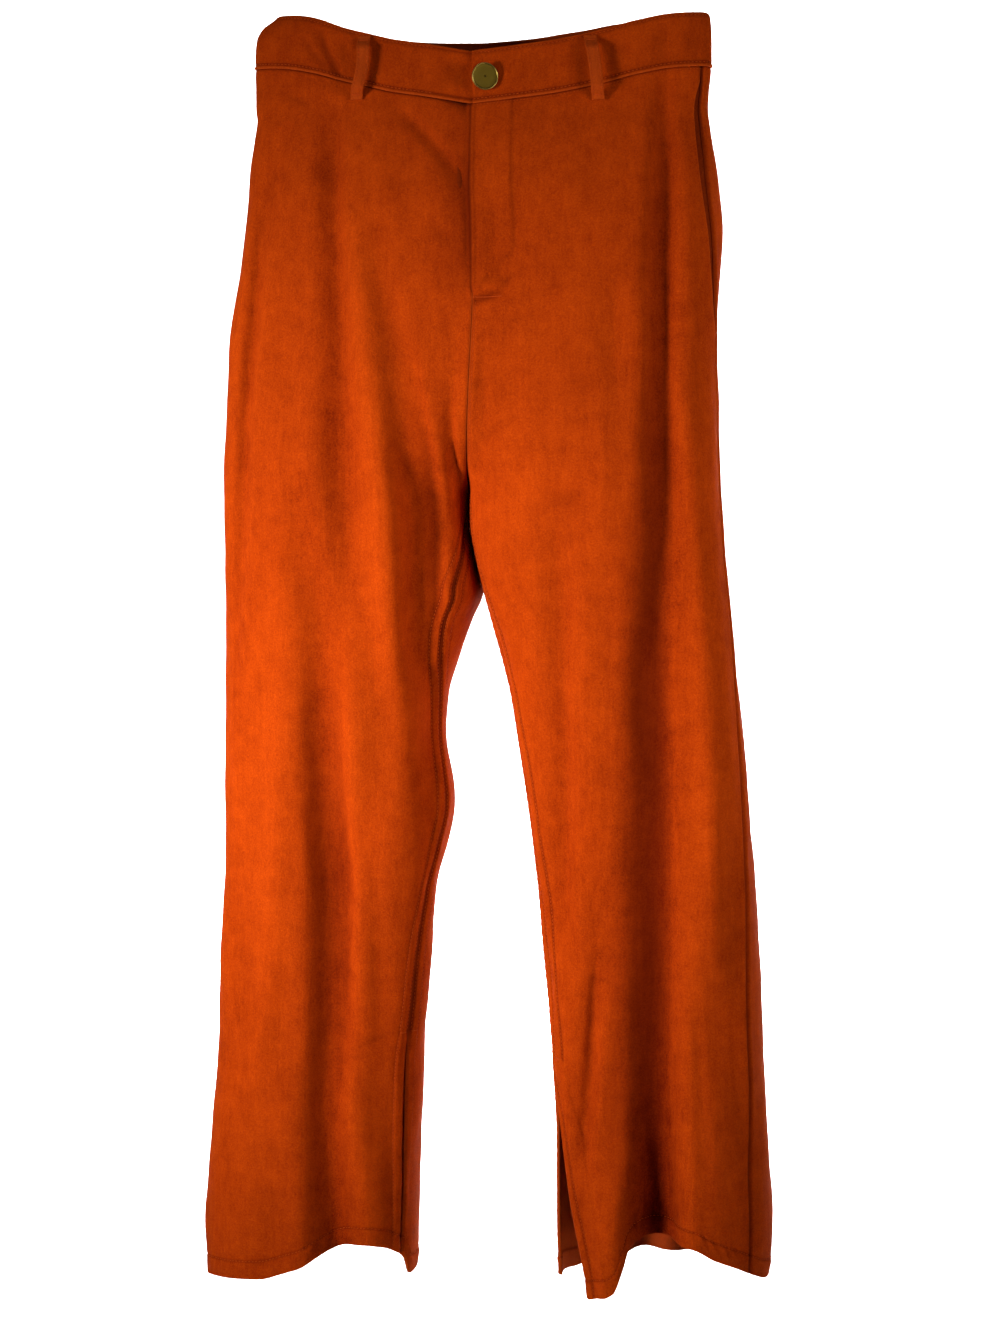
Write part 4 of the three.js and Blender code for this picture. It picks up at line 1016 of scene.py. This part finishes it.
class Finish:
    """A material under construction."""

    def __init__(self, name, **constants):
        self.material = bpy.data.materials.new(name)
        self.material.use_nodes = True
        self.tree = self.material.node_tree
        self.shader = self.tree.nodes["Principled BSDF"]
        for key, value in constants.items():
            self.shader.inputs[key.replace("_", " ")].default_value = value

    def node(self, kind, settings=None, output=0, **inputs):
        """Any node: its settings first, then values or links for its sockets by name, or by
        number as i0, i1 and so on."""
        node = self.tree.nodes.new(kind)
        for key, value in (settings or {}).items():
            if key == "stops":
                ramp = node.color_ramp
                while len(ramp.elements) < len(value):
                    ramp.elements.new(0.5)
                for element, (at, colour) in zip(ramp.elements, value):
                    element.position, element.color = at, (*colour, 1)
            else:
                setattr(node, key, value)
        for key, value in inputs.items():
            numbered = key[0] == "i" and key[1:].isdigit()
            slot = node.inputs[int(key[1:]) if numbered else key.replace("_", " ")]
            if isinstance(value, Val):
                self.tree.links.new(value.socket, slot)
            elif hasattr(value, "is_output"):
                self.tree.links.new(value, slot)
            else:
                slot.default_value = value
        return node.outputs[output]

    def value(self, socket):
        """A socket as a Val, for expressions."""
        return Val(self.tree, socket)

    def place(self, scale=(1, 1, 1)):
        """Object coordinates, stretched."""
        coordinates = self.tree.nodes.new("ShaderNodeTexCoord").outputs["Object"]
        return self.node("ShaderNodeMapping", Vector=coordinates, Scale=scale)

    def noise(self, scale, detail=2.0, roughness=0.5, stretch=(1, 1, 1)):
        """Noise on Object coordinates, 0 to 1."""
        return self.value(self.node("ShaderNodeTexNoise", Vector=self.place(stretch), Scale=scale,
                                    Detail=detail, Roughness=roughness))

    def attribute(self, name):
        """A number kept at the mesh's points."""
        return self.value(self.node("ShaderNodeAttribute", {"attribute_name": name}, output=2))

    def mix(self, factor, a, b):
        """One colour over another."""
        return self.node("ShaderNodeMix", {"data_type": "RGBA"}, output=2, i0=factor, i6=a, i7=b)

    def feed(self, socket, value):
        """Links a value or colour to one of the shader's sockets."""
        source = value.socket if isinstance(value, Val) else value
        self.tree.links.new(source, self.shader.inputs[socket])

    def bump(self, height, distance, strength=1.0):
        """Small relief, in metres, on the shader's normal."""
        self.feed("Normal", self.node("ShaderNodeBump", Height=height, Distance=distance,
                                      Strength=strength))


def suede(name, depth=1.0):
    """Suede: colour wanders between brushed-up and brushed-down pile over patches a hand
    wide, mottled at 10 mm and speckled at 1 mm. Painted shade darkens it with the depth of the
    fold valleys, and where the groove attribute gives it: along seams and stitching, in deep
    creases, under the band and beside the fly. It is paler on the inner face and on worn edges.
    A depth below 1 gives a darker copy: painted shade for pieces that lie in shadow."""
    f = Finish(name, Roughness=0.93, Sheen_Weight=0.05, Sheen_Roughness=0.5,
               Sheen_Tint=(1.0, 0.15, 0.01, 1), Specular_IOR_Level=0.02)
    patch = f.noise(11, 2.0, 0.55, (1, 1, 0.55))
    mottle = f.noise(70, 4.0, 0.65)
    speck = f.noise(800, 2.0, 0.65)
    brushed = f.noise(38, 3.0, 0.7, (1, 1, 0.45))
    streak = f.noise(300, 2.0, 0.5, (1, 1, 0.12))
    fold = f.attribute("fold")
    nap_and_fold_shade = (patch - 0.5) * 0.3 + (mottle - 0.5) * 0.5 + (speck - 0.5) * 0.8 + (streak - 0.5) * 0.25
    # The fold term darkens the deeper fold valleys: painted shade.
    nap_and_fold_shade = (nap_and_fold_shade + (brushed - 0.5) * 0.22 + 0.49 - fold * 0.016).clamp()
    colour = f.node("ShaderNodeValToRGB", {"stops": [
        (0.0, (0.14 * depth, 0.008 * depth, 0.0004)), (0.35, (0.31 * depth, 0.028 * depth, 0.001)),
        (0.65, (0.44 * depth, 0.045 * depth, 0.0015)), (1.0, (0.60 * depth, 0.068 * depth, 0.003)),
    ]}, Fac=nap_and_fold_shade)
    edge = (1 - f.attribute("edge") / 1.1).clamp()
    colour = f.mix(edge * 0.35, colour, (0.5 * depth, 0.075 * depth, 0.01, 1))
    colour = f.mix(f.attribute("inside") * 0.55, colour, (0.30 * depth, 0.045 * depth, 0.009, 1))
    # Painted shade along seams, stitching, deep creases, under the band and beside the fly.
    colour = f.mix(f.attribute("groove") * 0.85, colour, (0.085 * depth, 0.005 * depth, 0.0004, 1))
    f.feed("Base Color", colour)
    f.feed("Roughness", 0.88 + speck * 0.1)
    f.bump(speck * 0.6 + mottle * 0.8 + streak * 0.2, 0.0009, 0.7)
    return f.material


def metal(name, face, rim, roughness, patchiness=1.4):
    """Old brass: its colour mottled, duller and greener away from the worn rim."""
    f = Finish(name, Metallic=1.0)
    mottle = f.noise(260, 4.0, 0.6)
    scratch = f.noise(1400, 2.0, 0.6, (1, 0.2, 1))
    worn = f.attribute("worn")
    colour = f.mix(((mottle - 0.45) * patchiness + worn).clamp(), (*face, 1), (*rim, 1))
    f.feed("Base Color", colour)
    f.feed("Roughness", (roughness + (mottle - 0.5) * 0.3 - worn * 0.14).clamp())
    f.bump(scratch * 0.5 + mottle * 0.5, 0.00008, 0.35)
    return f.material


def woven(name, colour):
    """Plain woven tape: ribs in one direction."""
    f = Finish(name, Roughness=0.85, Sheen_Weight=0.1)
    rib = f.value(f.node("ShaderNodeTexWave", {"bands_direction": "Z"}, Vector=f.place(), Scale=260))
    f.feed("Base Color", f.mix(rib * 0.5, (*[c * 0.6 for c in colour], 1), (*colour, 1)))
    f.bump(rib, 0.0002, 0.6)
    return f.material


def thread(name):
    """Sewing thread in the cloth's colour, twisted."""
    f = Finish(name, Roughness=0.8, Specular_IOR_Level=0.05)
    tone = f.noise(700, 2.0)
    f.feed("Base Color", f.mix(tone, (0.36, 0.036, 0.003, 1), (0.6, 0.075, 0.008, 1)))
    f.bump(f.noise(2600, 1.0), 0.0001, 0.5)
    return f.material


def painted(obj, material):
    """Gives a piece its one material."""
    obj.data.materials.clear()
    obj.data.materials.append(material)


# --------------------------------------------------------------------------- assembly
SUEDE = suede("suede_nap")
# A darker copy of the suede, painted shade for the pocket bags and the fly shield, which lie in shadow.
SUEDE_SHADED = suede("suede_painted_shade", 0.45)
THREAD = thread("rust_thread")


def ready(obj, material, slot, *nodes):
    """Paints a piece, seats it on the one body and hides the solids it stands for."""
    painted(obj, material)
    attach(obj, "root")
    if nodes:
        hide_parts(*nodes)


for face, side in (("front", 1), ("front", -1), ("back", 1), ("back", -1)):
    obj, g, outer, normal, width, area = panel(side, face)
    node = f"{face}_{HAND[side]}"
    ready(obj, SUEDE, "suede", node)
    length = (-BAND_HEIGHT - HEM) * MM
    min(area, width * length)
    rows = panel_runs(side, face, g, outer, normal)
    ready(stitching(f"stitches_{node}", rows), THREAD, "suede")

band, band_rows, band_length = waistband()
ready(band, SUEDE, "suede", "waistband")
band_length * MM

for name, node, side, top_x, bottom_x, middle, lean in (
        ("loop_front_left", "belt_loop_front_left", 1, 88.6, 95.8, 90.0, 6),
        ("loop_front_right", "belt_loop_front_right", -1, -88.4, -94.5, 90.0, 20),
        ("loop_back_left", "belt_loop_back_left", 1, 104, 105, -90.0, -5),
        ("loop_back_right", "belt_loop_back_right", -1, -108, -109, -90.0, 4),
        ("loop_back_middle", "belt_loop_back", 1, None, None, -90.0, 3)):
    loop, rows = belt_loop(name, side, top_x, bottom_x, middle, lean)
    ready(loop, SUEDE, "suede", node)
    band_rows += rows
ready(stitching("stitches_band", band_rows), THREAD, "suede")

for side in (1, -1):
    bag, width, length, area = pocket(side)
    ready(bag, SUEDE_SHADED, "suede", f"pocket_{HAND[side]}")
    min(area, width * length)

ready(fly_shield(), SUEDE_SHADED, "suede", "fly_shield")

# Button: a flat face inside a raised rim, on a short shank.
button_angle = angle_at(1, BUTTON_X, BUTTON_LEVEL)
foot, axis = band_inset(1, button_angle, np.float64(BUTTON_LEVEL), -BAND_PROUD - BUTTON_LIFT)
turn = math.radians(BUTTON_TURN)
axis = np.array([axis[0] * math.cos(turn) - axis[1] * math.sin(turn),
                 axis[0] * math.sin(turn) + axis[1] * math.cos(turn), 0])
button = turned("waist_button", [
    (0, 0), (2.5, 0), (2.5, 3.5), (8.8, 3.6), (9.8, 4.0), (10.35, 4.6), (10.45, 5.2), (10.3, 5.8),
    (10.1, 6.15), (9.85, 6.3), (9.6, 6.25), (9.4, 6.0), (9.25, 5.75), (8.8, 5.7), (6, 5.7),
    (3, 5.7), (0.8, 5.7), (0, 5.7),
], foot, axis, np.array([-axis[1], axis[0], 0]))
co = np.zeros(len(button.data.vertices) * 3)
button.data.vertices.foreach_get("co", co)
off = co.reshape(-1, 3) / MM - foot
radius = np.linalg.norm(off - (off @ axis)[:, None] * axis, axis=1)
point_values(button.data, "worn", ease((radius - 9.2) / 0.4))
BUTTON_METAL = metal("old_brass_button", (0.13, 0.082, 0.010), (0.42, 0.29, 0.07), 0.5, 0.2)
ready(button, BUTTON_METAL, "button", "button")

ZIP_METAL = metal("old_brass_zip", (0.2, 0.13, 0.04), (0.45, 0.32, 0.12), 0.4)
for node in ("zip_chain", "zip_slider"):
    painted(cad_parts[node], ZIP_METAL)
painted(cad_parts["zip_tape"], woven("zip_tape_weave", (0.24, 0.05, 0.012)))

# --------------------------------------------------------------------------- stage and light
FLOOR = -1.4
SWEEP = [(-3, FLOOR), (2.2, FLOOR), (2.6, FLOOR + 0.12), (2.8, FLOOR + 0.5), (2.8, 3.0)]
paper_mesh = bpy.data.meshes.new("backdrop")
paper_mesh.from_pydata([(x, y, z) for y, z in SWEEP for x in (-4, 4)], [], grid_faces(5, 2).tolist())
backdrop = linked("backdrop", paper_mesh)
painted(backdrop, Finish("pale_paper", Roughness=0.9, Base_Color=(0.9, 0.9, 0.9, 1)).material)

scene = bpy.context.scene
scene.view_settings.view_transform = "Standard"
world = bpy.data.worlds.new("studio")
world.use_nodes = True
background = world.node_tree.nodes["Background"].inputs
background["Color"].default_value = (1, 1, 1, 1)
background["Strength"].default_value = 0.055
scene.world = world


def lamp(name, place, target, width, power_w, spread, height=None):
    """An area lamp aimed at a point, in metres and watts. Its spread, in degrees, is the angle
    within which its light falls."""
    data = bpy.data.lights.new(name, "AREA")
    data.shape, data.size, data.size_y = "RECTANGLE", width, height or width
    data.energy = power_w
    data.spread = math.radians(spread)
    obj = linked(name, data)
    obj.location = place
    obj.rotation_euler = (Vector(target) - Vector(place)).to_track_quat("-Z", "Y").to_euler()


lamp("key", (-1.7, -1.56, -0.5), (-0.12, 0, -0.51), 0.5, 4.2, 34)
lamp("fill", (1.9, -1.2, -0.35), (0.18, 0, -0.38), 0.8, 1.8, 38)
lamp("paper_light", (0, 2.35, 1.7), (0, 2.35, -1.4), 3.6, 240, 72, 0.4)

AZIMUTH = math.radians(11)
DISTANCE, HEIGHT, AIM, ASIDE = 1.8, -0.2837, -0.4807, 0.013
right = Vector((math.cos(AZIMUTH), math.sin(AZIMUTH), 0))
ahead = Vector((-math.sin(AZIMUTH), math.cos(AZIMUTH), 0))
camera_data = bpy.data.cameras.new("camera")
camera_data.sensor_width, camera_data.lens = 36, 60.67
camera = linked("camera", camera_data)
camera.location = -ahead * DISTANCE + right * ASIDE + Vector((0, 0, HEIGHT))
look = ahead * DISTANCE + Vector((0, 0, AIM - HEIGHT))
camera.rotation_euler = look.to_track_quat("-Z", "Y").to_euler()
scene.camera = camera
